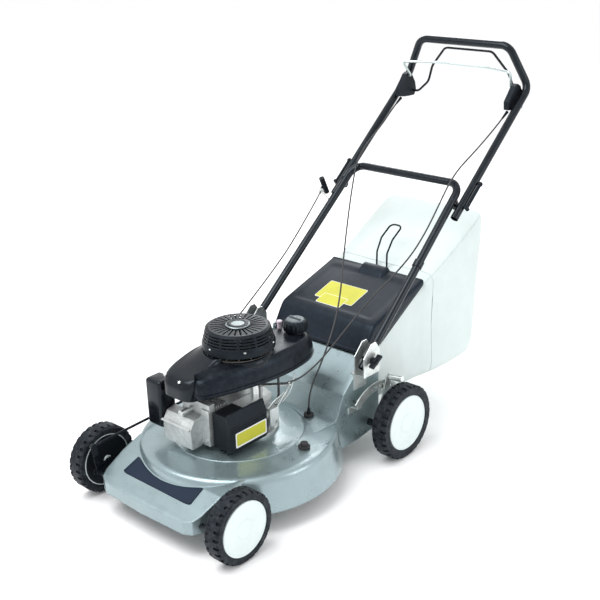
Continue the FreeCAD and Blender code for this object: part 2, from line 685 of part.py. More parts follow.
def engine_block():
    """Crankcase, finned cylinder and head in one casting, with the bearing tower."""
    base = disc(0, CRANK_Y, PLATFORM_Z, CASE_R + 18, 10)
    case = disc(0, CRANK_Y, PLATFORM_Z, CASE_R, CASE_TOP_Z - PLATFORM_Z)
    tower = disc(0, CRANK_Y, CASE_TOP_Z - 12, 34, 400 - CASE_TOP_Z + 12)
    barrel = box(-50, 40, -192, CRANK_Y, 196, 286)
    head = box(-64, 44, -212, -192, 188, 312)
    fins = [box(-64, 44, y, y + 3, 186, 300) for y in range(-186, -138, 8)]
    ribs = []
    for step in range(12):
        rib = box(CASE_R - 2, CASE_R + 6, -1.5, 1.5, PLATFORM_Z + 8, CASE_TOP_Z - 40)
        rib.rotate(V(0, 0, 0), Z_AXIS, -30 + 10 * step)
        rib.translate(V(0, CRANK_Y, 0))
        ribs.append(rib)
    post = disc(BRAKE_PIVOT.x, BRAKE_PIVOT.y, CASE_TOP_Z - 7, 6, BRAKE_PIVOT.z - CASE_TOP_Z + 7)
    stud = disc(BRAKE_PIVOT.x, BRAKE_PIVOT.y, CASE_TOP_Z - 2, 3, BRAKE_PIVOT.z + 7 - CASE_TOP_Z)
    bolts = []
    for step in range(4):
        turn = math.radians(45 + 90 * step)
        reach = CASE_R + 10
        bolts.append(disc(reach * math.cos(turn), CRANK_Y + reach * math.sin(turn), PLATFORM_Z + 9, 6, 6))
    block = fuse([base, case, tower, barrel, head, post, stud] + fins + ribs + bolts)
    block = block.cut(disc(0, CRANK_Y, 100, CRANK_R + RUN, 340))
    return block.cut(disc(OIL_CAP.x, OIL_CAP.y, OIL_CAP.z - 22, 9 + RUN, 40))


def oil_cap():
    stem = disc(OIL_CAP.x, OIL_CAP.y, OIL_CAP.z - 16, 9, 18)
    top = disc(OIL_CAP.x, OIL_CAP.y, OIL_CAP.z + GAP, 14, 9)
    fin = box(OIL_CAP.x - 12, OIL_CAP.x + 12, OIL_CAP.y - 2, OIL_CAP.y + 2, OIL_CAP.z + 5, OIL_CAP.z + 18)
    return fuse([stem, top, fin])


def shroud_form(inset):
    """Outside of the cooling shroud, or with an inset the space in it."""
    drum = disc(0, CRANK_Y, 403 - 2 * inset, COVER_R + 2 - inset, COVER_Z - 403 + inset)
    side = [(-262 + inset, 330 - inset), (-258 + inset, 372 - inset), (-240 + inset, 388 - inset),
            (-150, 408 - inset), (-110, 412 - inset), (44 - inset, 412 - inset), (44 - inset, 330 - inset)]
    plan = [(-96 + inset, 40 - inset), (-112 + inset, -60), (-104 + inset, -210), (-92 + inset, -240)]
    plan += [(-66, -262 + inset), (6, -262 + inset)]
    plan += [(x - inset, y) for x, y in SEAM[:-1]] + [(SEAM[-1][0] - inset, 40 - inset)]
    front = side_plate(side, -160, 160).common(plan_plate(plan, 290, 425))
    duct_plan = [(-162 + inset, -250), (-150, -262 + inset), (-112, -262 + inset), (-98, -250)]
    duct_plan += [(-98, -206 - inset), (-162 + inset, -206 - inset)]
    duct = plan_plate(duct_plan, 214 - inset, 354 - inset)
    return drum.fuse(front).fuse(duct)


def engine_shroud():
    """Moulded cover over the flywheel, with a duct down the right side of the cylinder."""
    shroud = shroud_form(0).cut(shroud_form(SHROUD_WALL))
    shroud = shroud.cut(disc(0, CRANK_Y, 380, COVER_R - 6, 80))
    shroud = shroud.cut(disc(0, CRANK_Y, 290, 44, 120))
    return shroud.removeSplitter()


def recoil_cover():
    """Domed starter cover with radial slots above and ring louvres at the side."""
    top = COVER_TOP_Z
    outer = [(0, top), (COVER_TOP_R, top), (COVER_TOP_R + 8, top - 4), (COVER_R - 3, COVER_Z + 22),
             (COVER_R, COVER_Z + 14), (COVER_R, COVER_Z)]
    inner = [(COVER_R - 3, COVER_Z), (COVER_R - 3, COVER_Z + 14), (COVER_R - 6, COVER_Z + 20),
             (COVER_TOP_R + 5, top - 7), (COVER_TOP_R - 2, top - 3), (0, top - 3)]
    dome = turned(outer + inner, V(0, CRANK_Y, 0))
    slots = []
    for step in range(SLOT_COUNT):
        slot = box(36, COVER_TOP_R - 6, -2.2, 2.2, top - 10, top + 5)
        slot.rotate(V(0, 0, 0), Z_AXIS, step * 360.0 / SLOT_COUNT)
        slots.append(slot)
    for level in range(4):
        z = COVER_Z + 25 + 8 * level
        ring = disc(0, 0, z, COVER_R + 10, 4).cut(disc(0, 0, z, COVER_TOP_R - 4, 4))
        for step in range(12):
            rib = box(COVER_TOP_R - 10, COVER_R + 15, -3, 3, z - 1, z + 5)
            rib.rotate(V(0, 0, 0), Z_AXIS, 15 + step * 30)
            ring = ring.cut(rib)
        slots.append(ring)
    cuts = Part.makeCompound(slots)
    cuts.translate(V(0, CRANK_Y, 0))
    dome = dome.cut(cuts)
    post = disc(0, CRANK_Y, top - 34, 6, 33)
    badge = disc(0, CRANK_Y, top - 1, 31, 4)
    along = ROPE[1].sub(ROPE[0]).normalize()
    eyelet = rod(ROPE[0].sub(along * 40), ROPE[0], 8)
    eyelet = eyelet.cut(disc(0, CRANK_Y, COVER_Z, COVER_R - 4, 60))
    return fuse([dome, post, badge, eyelet])


def starter_pulley():
    """Rope drum on the post of the starter cover."""
    rim = ROPE_GROOVE_R + 6
    low = COVER_TOP_Z - 32
    profile = [(6 + RUN, low), (rim, low), (rim, low + 3), (ROPE_GROOVE_R, low + 5),
               (ROPE_GROOVE_R, low + 11), (rim, low + 13), (rim, low + 16), (6 + RUN, low + 16)]
    return turned(profile, V(0, CRANK_Y, 0))


def fuel_tank():
    """Blow-moulded tank wrapped around the left and the rear of the shroud."""
    inner = [(58, 46)] + [(x + 3, y) for x, y in reversed(SEAM[:-1])]
    foot = [(42, -242), (56, -228), (80, -160), (96, -98), (110, -38), (115, 35), (108, 107),
            (98, 150), (80, 178), (50, 188), (0, 186), (-24, 168), (-30, 140), (-30, 46)]
    shoulder = [(33, -224), (38, -212), (56, -150), (70, -92), (82, -36), (86, 34), (80, 100),
                (72, 132), (60, 154), (42, 162), (6, 162), (-10, 152), (-16, 134), (-16, 46)]
    low = plan_plate(foot + inner, TANK_Z, TANK_SHOULDER_Z)
    rings = []
    for points, z in ((foot, TANK_SHOULDER_Z), (shoulder, TANK_TOP_Z)):
        corners = [V(x, y, z) for x, y in points + inner]
        rings.append(Part.makePolygon(corners + corners[:1]))
    high = Part.makeLoft(rings, True, True)
    neck = disc(FILLER.x, FILLER.y, TANK_TOP_Z - 2, 22, 26)
    return fuse([low, high, neck])


def fuel_cap():
    z = FILLER.z
    inner_r = 22 + RUN
    outer = turned([(inner_r, z + 8), (29, z + 8), (29, z + 40), (26, z + 44), (0, z + 44),
                    (0, z + 24.4), (inner_r, z + 24.4)], FILLER)
    ribs = []
    for step in range(16):
        rib = box(28, 30.5, -1.6, 1.6, z + 10, z + 38)
        rib.rotate(V(0, 0, 0), Z_AXIS, step * 22.5)
        rib.translate(V(FILLER.x, FILLER.y, 0))
        ribs.append(rib)
    return fuse([outer] + ribs)


def muffler():
    can = box(-84, 8, -244, -213, 198, 256)
    can = can.makeFillet(9, can.Edges)
    outlet = pin(-92, -76, -229, 216, 8)
    return fuse([can, outlet])


def muffler_guard():
    """Bent sheet around the silencer with a folded lip, two cheeks and a bolted flange."""
    outside = [(-213, 276), (-244, 270), (-260, 246), (-257, 186)]
    inside = [(-255, 186), (-258, 245), (-243, 268), (-213, 274)]
    skin = side_plate(outside + inside, -96, 16)
    cheek = side_plate(outside + [(-222, 186), (-213, 206)], -96, -94)
    cheek = cheek.cut(pin(-100, -90, -229, 216, 12))
    other = side_plate(outside + [(-222, 186), (-213, 206)], 14, 16)
    flange = box(14, 44, -216, -213, 188, 296)
    bolt = rod(V(33, -221, 204), V(33, -213, 204), 5)
    fold = side_plate([(-262, 252), (-268, 250), (-268, 248), (-259, 244)], -96, 16)
    return fuse([skin, cheek, other, flange, bolt, fold])


def air_cleaner_case():
    """Open box beside the cylinder, a thin plate behind it, and the intake to the head."""
    front = box(50, CLEANER_X, -206, -132, 188, 292)
    rear = box(CLEANER_X - 12, CLEANER_X, -140, -66, 188, 292)
    case = front.fuse(rear)
    case = case.cut(box(53, CLEANER_X + 1, -203, -135, 191, 289))
    case = case.cut(box(CLEANER_X - 9, CLEANER_X + 1, -143, -69, 191, 289))
    lugs = [box(CLEANER_X - 2, CLEANER_X + 2, y, y + 12, CLEANER_HINGE_Z - 5, 196) for y in (-178, -104)]
    case = fuse([case, box(44, 51, -196, -150, 236, 270)] + lugs)
    hinge = rod(V(CLEANER_X + 2, -210, CLEANER_HINGE_Z), V(CLEANER_X + 2, -60, CLEANER_HINGE_Z), 3 + RUN)
    return case.cut(hinge)


def air_cleaner_cover():
    """Moulded lid that drops open about the rod along its lower edge."""
    x = CLEANER_X + 1
    outer = CLEANER_COVER_X
    side = [(x, 196), (x, 190), (outer - 6, 184), (outer, 194), (outer, 266), (outer - 9, 292), (x, 300)]
    lid = side_profile_y(side, -210, -67)
    hollow = side_profile_y([(x - 1, 202), (outer - 5, 200), (outer - 3, 210), (outer - 3, 264),
                             (outer - 11, 288), (x - 1, 295)], -206, -71)
    lid = lid.cut(hollow)
    for y in (-178, -104):
        lid = lid.cut(box(x - 2, x + 1.5, y - GAP, y + 12 + GAP, 178, 197))
    hinge = rod(V(x + 1, -210, CLEANER_HINGE_Z), V(x + 1, -67, CLEANER_HINGE_Z), 3)
    web = [box(x + 0.6, x + 6, y, y + 20, CLEANER_HINGE_Z - 1, 194) for y in (-206, -150, -88)]
    ribs = [box(outer - 1, outer + 2, -200, -72, z, z + 3) for z in (244, 252, 260)]
    return fuse([lid, hinge] + web + ribs)


def carburettor():
    body = box(92, 122, -56, -22, 222, 262)
    throat = rod(V(102, -66, 242), V(102, -22, 242), 12)
    bowl = disc(107, -39, 206, 14, 18)
    return fuse([body, throat, bowl])


def fuel_hose():
    return cord("fuel_hose", FUEL_LINE, HOSE_R)


def spark_plug():
    plug = rod(V(-26, -212, 285), V(-26, -222, 285), 8)
    insulator = rod(V(-26, -222, 285), V(-26, -232, 285), 5)
    cap = rod(V(-26, -230, 285), V(-26, -256, 285), 9)
    return fuse([plug, insulator, cap])


def brake_lever():
    """Lever that lifts the flywheel brake and stops the spark."""
    end = V(110, 36, 0)
    start = BRAKE_PIVOT
    along = V(end.x - start.x, end.y - start.y, 0).normalize()
    across = V(-along.y, along.x, 0) * 8
    a = V(start.x, start.y, 0)
    outline = [(p.x, p.y) for p in (a.add(across), end.add(across), end.sub(across), a.sub(across))]
    z0 = BRAKE_PIVOT.z + 0.3
    arm = plan_plate(outline, z0, z0 + 3)
    eyes = [disc(start.x, start.y, z0, 8, 3), disc(end.x, end.y, z0, 8, 3), disc(end.x, end.y, z0, 4, 9)]
    arm = fuse([arm] + eyes)
    return arm.cut(disc(start.x, start.y, z0 - 5, 3 + RUN, 20))


def leg_point(share, side):
    """Point on the axis of a lower leg, by its share of the length."""
    point = LEG_FOOT.add(LEG_TOP.sub(LEG_FOOT) * share)
    return V(point.x * side, point.y, point.z)


def lower_handle():
    """U-shaped tube; its top corners carry welded plates with the clamp studs."""
    other_foot = V(-LEG_FOOT.x, LEG_FOOT.y, LEG_FOOT.z)
    other_top = V(-LEG_TOP.x, LEG_TOP.y, LEG_TOP.z)
    points = [LEG_FOOT, LEG_TOP, other_top, other_foot]
    tube = bar(points, BEND_R, TUBE_R)
    z_leg = LEG_FOOT.z + (UPPER_FOLD_Y - LEG_FOOT.y) * LEG_ALONG.z / LEG_ALONG.y
    plate = link_plate((UPPER_FOLD_Y - 6, z_leg - 6), (UPPER_FOLD_Y, UPPER_FOLD_Z), 26, 216, 221)
    stud = pin(218, CLAMP_END_X, UPPER_FOLD_Y, UPPER_FOLD_Z, CLAMP_R)
    tab = plate.fuse(stud)
    middle = leg_point(0.55, 1)
    collar = rod(middle.sub(LEG_ALONG * 11), middle.add(LEG_ALONG * 11), TUBE_R + 3)
    handle = fuse([tube, tab, mirrored(tab), collar])
    handle = handle.cut(bar(points, BEND_R, TUBE_R - TUBE_WALL))
    return handle.cut(pin(-260, 260, FOLD_Y, FOLD_Z, KNOB_BOLT_R + RUN))


def upper_handle():
    """Tube that rises behind the mower and turns into the top loop."""
    left = [UPPER_FOOT, UPPER_BEND, UPPER_TOP]
    right = [V(-p.x, p.y, p.z) for p in reversed(left)]
    tube = pipe(left + right, BEND_R, TUBE_R, TUBE_WALL)
    return tube.cut(pin(-260, 260, UPPER_FOLD_Y, UPPER_FOLD_Z, CLAMP_R + RUN))


def cam_lever():
    """Quick-release lever on the clamp stud, lying along the tube."""
    centre = V(CLAMP_END_X + 7.0, UPPER_FOLD_Y, UPPER_FOLD_Z)
    barrel = rod(centre.sub(UPPER_NORMAL * 8), centre.add(UPPER_NORMAL * 8), 6.5)
    tip = centre.add(V(0, UPPER_ALONG.y, UPPER_ALONG.z) * 92)
    blade_arm = rod(centre, tip, 5.5)
    end = Part.makeSphere(8, tip)
    return fuse([barrel, blade_arm, end])


def wing_knob():
    """Threaded bolt with a winged head, through the bracket and the leg."""
    bolt = pin(204, 250, FOLD_Y, FOLD_Z, KNOB_BOLT_R)
    hub = pin(244.5 + GAP, 262, FOLD_Y, FOLD_Z, 11)
    wings = box(250, 266, FOLD_Y - 24, FOLD_Y + 24, FOLD_Z - 4, FOLD_Z + 4)
    wings.rotate(V(250, FOLD_Y, FOLD_Z), X_AXIS, 30)
    return fuse([bolt, hub, wings])


def control_housings():
    """Moulded blocks on the inside of the handle legs that hold both bails."""
    outline = [(968, 940), (992, 936), (1022, 934), (1050, 934), (1060, 952), (1054, 978), (1034, 1008),
               (1018, 1016), (1004, 1010), (988, 990), (966, 966)]
    block = side_plate(outline, HOUSING_INNER_X, HOUSING_OUTER_X)
    both = block.fuse(mirrored(block))
    path = bent_path([UPPER_FOOT, UPPER_BEND, UPPER_TOP], [BEND_R])
    tube = swept(path, TUBE_R + 0.1)
    both = both.cut(tube).cut(mirrored(tube))
    depth = HOUSING_INNER_X + 8
    for pivot in (STOP_PIVOT, DRIVE_PIVOT):
        both = both.cut(pin(-depth, depth, pivot.y, pivot.z, BAIL_R + RUN))
    return both


def engine_bail():
    """Bent bar that is squeezed to the handle to let the engine run."""
    end = HOUSING_INNER_X + 7
    left = [V(end, STOP_PIVOT.y, STOP_PIVOT.z), V(183, STOP_PIVOT.y, STOP_PIVOT.z), V(170, 1085, 978),
            V(150, 1078, 1034), V(92, 1068, 1100)]
    right = [V(-p.x, p.y, p.z) for p in reversed(left)]
    return swept(bent_path(left + right, [12, 22, 60, 28, 28, 60, 22, 12]), BAIL_R)


def drive_bail():
    """Bowed bar that is pulled in to engage the wheel drive."""
    end = HOUSING_INNER_X + 7
    left = [V(end, DRIVE_PIVOT.y, DRIVE_PIVOT.z), V(194, DRIVE_PIVOT.y, DRIVE_PIVOT.z), V(211, 990, 1054),
            V(110, 1016, 1058)]
    right = [V(-p.x, p.y, p.z) for p in reversed(left)]
    return swept(bent_path(left + right, [7, 9, 300, 300, 9, 7]), BAIL_R)


def starter_grip():
    """T-shaped grip seated on the rope guide beside the right leg."""
    seat = ROPE[-1].add(ROPE_ALONG * 9)
    stem = rod(seat, seat.add(ROPE_ALONG * 22), 7)
    cross = seat.add(ROPE_ALONG * 26)
    half = V(0, -ROPE_ALONG.z, ROPE_ALONG.y).normalize() * 30
    handle = rod(cross.sub(half), cross.add(half), 9)
    return fuse([stem, handle])


def rope_guide():
    """Steel eye that leads the rope to the grip."""
    eye = rod(ROPE[-1], ROPE[-1].add(ROPE_ALONG * 8), 9)
    strap = rod(ROPE[-1].add(ROPE_ALONG * 4).add(V(6, 0, -4)), V(-216.0, 612.0, 650.0), 2.5)
    leg = rod(leg_point(0, -1), leg_point(1, -1), TUBE_R)
    return fuse([eye, strap]).cut(leg)


def discharge_flap():
    """Hinged cover over the discharge opening, with side flanges, ribs and a finger grip."""
    pin_y = FLAP_PIN_Y
    pin_z = FLAP_PIN_Z
    rear_y = FLAP_REAR_Y
    rear_z = FLAP_REAR_Z
    skin = [(pin_y - 3, pin_z + 4), (FLAP_FOLD_Y, FLAP_FOLD_Z), (rear_y - 8, rear_z - 4),
            (rear_y + 4, rear_z + 4), (rear_y + 6, rear_z + 2), (rear_y - 6, rear_z - 8),
            (FLAP_FOLD_Y + 2, FLAP_FOLD_Z - 3.5), (pin_y + 2, pin_z + 1)]
    plate = side_plate(skin, -FLAP_HALF, FLAP_HALF)
    outline = [(pin_y + 22, pin_z + 8), (FLAP_FOLD_Y, FLAP_FOLD_Z - 1), (rear_y - 2, rear_z - 4),
               (rear_y - 2, rear_z - 16), (362, 330)]
    flange = side_plate(outline, FLAP_HALF - FLAP_T, FLAP_HALF)
    front = side_plate([(pin_y, pin_z), (pin_y + 3, pin_z + 10), (pin_y + 12, pin_z + 22),
                        (pin_y - 2, pin_z + 4)], -170, 170)
    hinge = pin(-173, 173, pin_y, pin_z, 7).fuse(pin(-FLAP_HALF, FLAP_HALF, pin_y, pin_z, FLAP_PIN_R))
    slot = box(174.8, 183.2, pin_y - 20, pin_y + 14.5, pin_z - 20, pin_z + 20)
    body = plate.fuse(flange).fuse(mirrored(flange)).fuse(front)
    body = body.cut(slot).cut(mirrored(slot))
    grip_side = [(rear_y - 42, rear_z - 14), (rear_y - 26, rear_z + 4), (rear_y + 2, rear_z + 10),
                 (rear_y + 5, rear_z + 3), (rear_y - 8, rear_z - 6)]
    grip = side_plate(grip_side, -48, 48)
    return fuse([body, hinge, grip])


def bag_form(inset):
    """Outside of the bag, or with an inset its inside."""
    top = BAG_TOP_Z - inset
    front = REAR_FACE_Y + 8
    mouth = [(front, 146 + inset), (front, 310 - inset), (378, 402 - inset), (566, 458 - inset),
             (600, 470 - inset), (600, 146 + inset)]
    half = BAG_MOUTH_HALF - inset
    neck = side_plate(mouth, -half, half)
    profile = [(592 + inset * 0.5, 140 + inset), (592 + inset * 0.5, 472 - inset), (BAG_TOP_Y - inset, top),
               (BAG_REAR_Y + 12 - inset, 590), (BAG_REAR_Y - inset, 210 + inset)]
    sack = side_plate(profile, -BAG_HALF + inset, BAG_HALF - inset)
    return neck.fuse(sack)


def bag_fabric():
    bag = bag_form(0).cut(bag_form(BAG_WALL))
    mouth = box(-BAG_MOUTH_HALF + 8, BAG_MOUTH_HALF - 8, REAR_FACE_Y, REAR_FACE_Y + 20, 154, 302)
    return bag.cut(mouth)


def bag_frame():
    """Mouth frame against the discharge opening, and the wire handle on top."""
    y0 = REAR_FACE_Y + GAP
    frame = box(-180, 180, y0, REAR_FACE_Y + 8, 145, 311)
    frame = frame.cut(box(-164, 164, y0 - 1, REAR_FACE_Y + 9, 154, 302))
    left = [V(20, 604, 462), V(20, 606, 520), V(22, 632, 560), V(22, 684, 592)]
    right = [V(-p.x, p.y, p.z) for p in reversed(left)]
    wire = bar(left + right, 16, 3)
    return Part.makeCompound([frame, wire])


def left_and_right(name, shape, parts):
    parts[name + "_left"] = shape
    parts[name + "_right"] = mirrored(shape)


def build():
    parts = {}
    parts["deck_shell"] = deck_shell()
    parts["deck_grommets"] = deck_grommets()
    parts["deck_label"] = deck_label()
    parts["handle_brackets"] = handle_brackets()
    parts["height_quadrant"] = height_quadrant()
    parts["engine_block"] = engine_block()
    parts["engine_shroud"] = engine_shroud()
    parts["recoil_cover"] = recoil_cover()
    parts["starter_pulley"] = starter_pulley()
    parts["fuel_tank"] = fuel_tank()
    parts["fuel_cap"] = fuel_cap()
    parts["oil_cap"] = oil_cap()
    parts["muffler"] = muffler()
    parts["muffler_guard"] = muffler_guard()
    parts["air_cleaner_case"] = air_cleaner_case()
    parts["air_cleaner_cover"] = air_cleaner_cover()
    parts["carburettor"] = carburettor()
    parts["fuel_hose"] = fuel_hose()
    parts["spark_plug"] = spark_plug()
    parts["brake_lever"] = brake_lever()
    parts["crankshaft"] = crankshaft()
    parts["flywheel"] = flywheel()
    parts["blade_holder"] = blade_holder()
    parts["blade"] = blade()
    parts["gearbox_housing"] = gearbox_housing()
    parts["gearbox_pulley"] = gearbox_pulley()
    parts["clutch_lever"] = clutch_lever()
    parts["drive_belt"] = drive_belt()
    parts["drive_shaft"] = drive_shaft()
    parts["front_axle"] = front_axle()
    parts["rear_axle"] = rear_axle()
    parts["height_lever"] = height_lever()
    parts["height_link"] = height_link()
    front = (FRONT_Y, FRONT_TYRE_R)
    rear = (REAR_Y, REAR_TYRE_R)
    left_and_right("front_tyre", tyre(FRONT_RIM_R, FRONT_TYRE_R, FRONT_OUTER_X, *front, 28), parts)
    left_and_right("front_rim", front_rim(*front), parts)
    left_and_right("rear_tyre", tyre(REAR_RIM_R, REAR_TYRE_R, REAR_OUTER_X, *rear, 32), parts)
    left_and_right("rear_rim", rear_rim(*rear), parts)
    left_and_right("pinion", pinion(), parts)
    parts["lower_handle"] = lower_handle()
    parts["upper_handle"] = upper_handle()
    left_and_right("cam_lever", cam_lever(), parts)
    left_and_right("wing_knob", wing_knob(), parts)
    parts["control_housings"] = control_housings()
    parts["engine_bail"] = engine_bail()
    parts["drive_bail"] = drive_bail()
    parts["rope_guide"] = rope_guide()
    parts["starter_grip"] = starter_grip()
    parts["starter_rope"] = cord("starter_rope", ROPE, ROPE_R)
    parts["clutch_cable"] = cord("clutch_cable", CLUTCH_CABLE, CABLE_R)
    parts["brake_cable"] = cord("brake_cable", BRAKE_CABLE, CABLE_R)
    parts["discharge_flap"] = discharge_flap()
    parts["bag_fabric"] = bag_fabric()
    parts["bag_frame"] = bag_frame()
    return parts


def main():
    parts = build()
    front = parts["front_tyre_left"].optimalBoundingBox().YMin
    rear = max(parts[name].optimalBoundingBox().YMax for name in ("upper_handle", "engine_bail"))
    shift = -0.5 * (front + rear)
    print("moved along Y by", round(shift, 4))
    os.makedirs("parts", exist_ok=True)
    for name in sorted(parts):
        shape = parts[name]
        shape.translate(V(0, shift, 0))
        solids = shape.Solids
        print(name, "solids", len(solids), "valid", shape.isValid(), "cm3", round(shape.Volume / 1000.0, 1))
        shape.exportStep("parts/" + name + ".step")
    print(len(parts), "pieces")


main()
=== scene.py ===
# %% [markdown]
# # A self-propelled petrol lawn mower with a rear grass bag
# The design already exists as a CAD model: every casting, tube, wheel and lever with its true
# size and its joints.  This lesson gives that model its looks.  First the frame is loaded.

# %% Load the CAD frame
import json
import math

import bmesh
import bpy
import numpy as np
from mathutils import Matrix, Vector


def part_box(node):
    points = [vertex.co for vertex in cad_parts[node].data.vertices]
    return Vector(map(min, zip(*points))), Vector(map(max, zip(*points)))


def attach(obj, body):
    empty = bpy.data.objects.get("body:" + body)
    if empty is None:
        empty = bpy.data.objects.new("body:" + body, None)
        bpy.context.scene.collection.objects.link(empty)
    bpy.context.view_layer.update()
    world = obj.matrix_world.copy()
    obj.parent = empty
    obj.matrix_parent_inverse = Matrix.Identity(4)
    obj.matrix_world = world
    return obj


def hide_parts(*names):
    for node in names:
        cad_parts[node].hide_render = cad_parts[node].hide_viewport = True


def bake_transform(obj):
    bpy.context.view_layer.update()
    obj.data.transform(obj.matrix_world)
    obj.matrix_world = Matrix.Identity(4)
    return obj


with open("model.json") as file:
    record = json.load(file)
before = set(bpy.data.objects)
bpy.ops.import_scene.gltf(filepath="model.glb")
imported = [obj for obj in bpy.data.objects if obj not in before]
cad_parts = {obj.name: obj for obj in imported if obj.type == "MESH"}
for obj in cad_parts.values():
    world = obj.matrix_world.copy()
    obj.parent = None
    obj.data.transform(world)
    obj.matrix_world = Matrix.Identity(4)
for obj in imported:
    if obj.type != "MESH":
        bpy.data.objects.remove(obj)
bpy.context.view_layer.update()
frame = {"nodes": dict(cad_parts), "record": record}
nodes = frame["nodes"]

MM = 0.001
# The design measures Y from midway between the axles.  The frame is moved along Y, so the move is
# read from the rear face of the deck, which is 345 mm behind that midpoint.
DECK_REAR_Y = 345.0
SHIFT_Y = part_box("deck_shell")[1][1] / MM - DECK_REAR_Y
print("moved along Y by", round(SHIFT_Y, 3), "mm")


def place(points):
    """Design points in millimetres become frame points in metres: Y is shifted, then all scaled."""
    moved = np.asarray(points, float).copy()
    moved[..., 1] += SHIFT_Y
    return moved * MM


# %% [markdown]
# ## Camera, floor and light
# The mower stands in a pale studio and is seen from above its front left corner through a long
# lens, so that the handle keeps its height.  The light is soft: one large panel over the mower,
# one weaker panel on the shaded side, and a pale world that fills the rest.

# %% Camera
AZIMUTH, ELEVATION, ROLL = (math.radians(v) for v in (42.62, 21.44, -1.72))
CAMERA_POINT = (1969.0, -1927.0, 1620.9)
LENS = 63.46
right = np.array([math.cos(AZIMUTH), math.sin(AZIMUTH), 0.0])
back = np.array([math.sin(AZIMUTH) * math.cos(ELEVATION),
                 -math.cos(AZIMUTH) * math.cos(ELEVATION), math.sin(ELEVATION)])
up = np.cross(back, right)
screen_right = right * math.cos(ROLL) + up * math.sin(ROLL)
screen_up = -right * math.sin(ROLL) + up * math.cos(ROLL)
camera = bpy.data.objects.new("camera", bpy.data.cameras.new("camera"))
bpy.context.scene.collection.objects.link(camera)
camera.data.lens = LENS
camera.data.sensor_width = 36.0
axes = np.stack([screen_right, screen_up, back], axis=1)
camera.matrix_world = Matrix.Translation(place(CAMERA_POINT)) @ Matrix(axes.tolist()).to_4x4()
bpy.context.scene.camera = camera
print("camera at", [round(v, 3) for v in camera.location])


# %% Floor and lights
def new_mesh(name, vertices, faces):
    """A mesh object from arrays of points and faces, linked to the scene."""
    mesh = bpy.data.meshes.new(name)
    mesh.from_pydata(np.asarray(vertices).tolist(), [], [list(map(int, f)) for f in faces])
    mesh.update()
    thing = bpy.data.objects.new(name, mesh)
    bpy.context.scene.collection.objects.link(thing)
    return thing


FLOOR_HALF = 30.0
WORLD_STRENGTH = 1.03
corners = [(-1, -1, 0), (1, -1, 0), (1, 1, 0), (-1, 1, 0)]
floor = new_mesh("floor", np.array(corners) * FLOOR_HALF, [(0, 1, 2, 3)])


def panel_light(name, position, target, size, watts):
    """A square area light that faces its target."""
    light = bpy.data.lights.new(name, "AREA")
    light.shape = "SQUARE"
    light.size = size
    light.energy = watts
    lamp = bpy.data.objects.new(name, light)
    bpy.context.scene.collection.objects.link(lamp)
    lamp.location = position
    lamp.rotation_euler = (Vector(target) - Vector(position)).to_track_quat("-Z", "Y").to_euler()
    return lamp


panel_light("key_panel", (-0.6, -1.6, 3.4), (0, 0, 0.3), size=2.4, watts=95)
panel_light("side_panel", (3.2, 0.9, 1.6), (0, 0, 0.4), size=1.6, watts=22)
panel_light("rear_panel", (-1.8, 2.4, 2.2), (0, 0.2, 0.5), size=1.6, watts=38)

world = bpy.data.worlds.new("studio")
bpy.context.scene.world = world
world.use_nodes = True
world.node_tree.nodes["Background"].inputs["Color"].default_value = (1.0, 1.0, 1.0, 1.0)
world.node_tree.nodes["Background"].inputs["Strength"].default_value = WORLD_STRENGTH
bpy.context.scene.view_settings.view_transform = "Standard"
print("lights ready")


# %% [markdown]
# ## Cables, hose and rope
# Two thin control cables hang from the levers at the top of the handle to the engine and to the
# drive, a cord leads from the starter to its grip, and a short fuel hose joins the tank and the
# carburettor.  Each one is a single smooth NURBS line drawn by the points of its route.  The
# cables cross the folding joints of the handle, so each is a mesh tube cut in two: the upper piece
# rides on the upper handle, the lower one runs from the deck to the lower handle with no parent.

# %% Routes of the cords, from where each leaves the object
ROPE = [(-86, 33, 457), (-139, 236, 522), (-188, 414, 592), (-250, 600, 680)]
CLUTCH_CABLE = [(-212, 984, 932), (-212, 940, 906), (-210, 880, 862), (-206, 815, 828), (-200, 765, 804),
                (-189, 714, 768), (-160, 655, 702), (-120, 588, 644), (-60, 498, 585), (-6, 418, 528),
                (46, 344, 471), (84, 274, 416), (106, 214, 366), (112, 168, 312), (107, 134, 258),
                (106, 120, 210), (106, 120, 160)]
BRAKE_CABLE = [(212, 977, 933), (211, 930, 904), (206, 868, 866), (198, 806, 828), (190, 752, 797),
               (186, 704, 760), (186, 650, 702), (186, 592, 640), (180, 528, 578), (160, 462, 522),
               (140, 396, 478), (130, 332, 436), (126, 268, 398), (124, 212, 366), (126, 156, 340),
               (126, 100, 322), (122, 62, 314), (114, 40, 311.5)]
FUEL_LINE = [(104, 0, 338), (104, 0, 306), (107, -4, 276), (107, -24, 254)]


def route_curve(name, points):
    """One open NURBS spline of order 3 with the route's points as control points."""
    curve = bpy.data.curves.new(name, "CURVE")
    curve.dimensions = "3D"
    curve.resolution_u = 12
    spline = curve.splines.new("NURBS")
    spline.points.add(len(points) - 1)
    for point, position in zip(spline.points, place(points)):
        point.co = (*position, 1.0)
    spline.order_u = 3
    spline.use_endpoint_u = True
    thing = bpy.data.objects.new(name, curve)
    bpy.context.scene.collection.objects.link(thing)
    return thing


def route_line(name, points):
    """The smooth line itself: points read from the route's NURBS spline without a bevel."""
    thing = route_curve(name + "_line", points)
    mesh = bpy.data.meshes.new_from_object(thing)
    line = np.array([v.co for v in mesh.vertices], float)
    bpy.data.objects.remove(thing)
    bpy.data.meshes.remove(mesh)
    return line


def run_length(line):
    """Sum of the distances between neighbouring points."""
    return float(np.linalg.norm(np.diff(line, axis=0), axis=1).sum())


def full_turn(steps):
    """Equal steps of one turn, in radians, without the last one, which is the first again."""
    return np.linspace(0, 2 * math.pi, steps, endpoint=False)


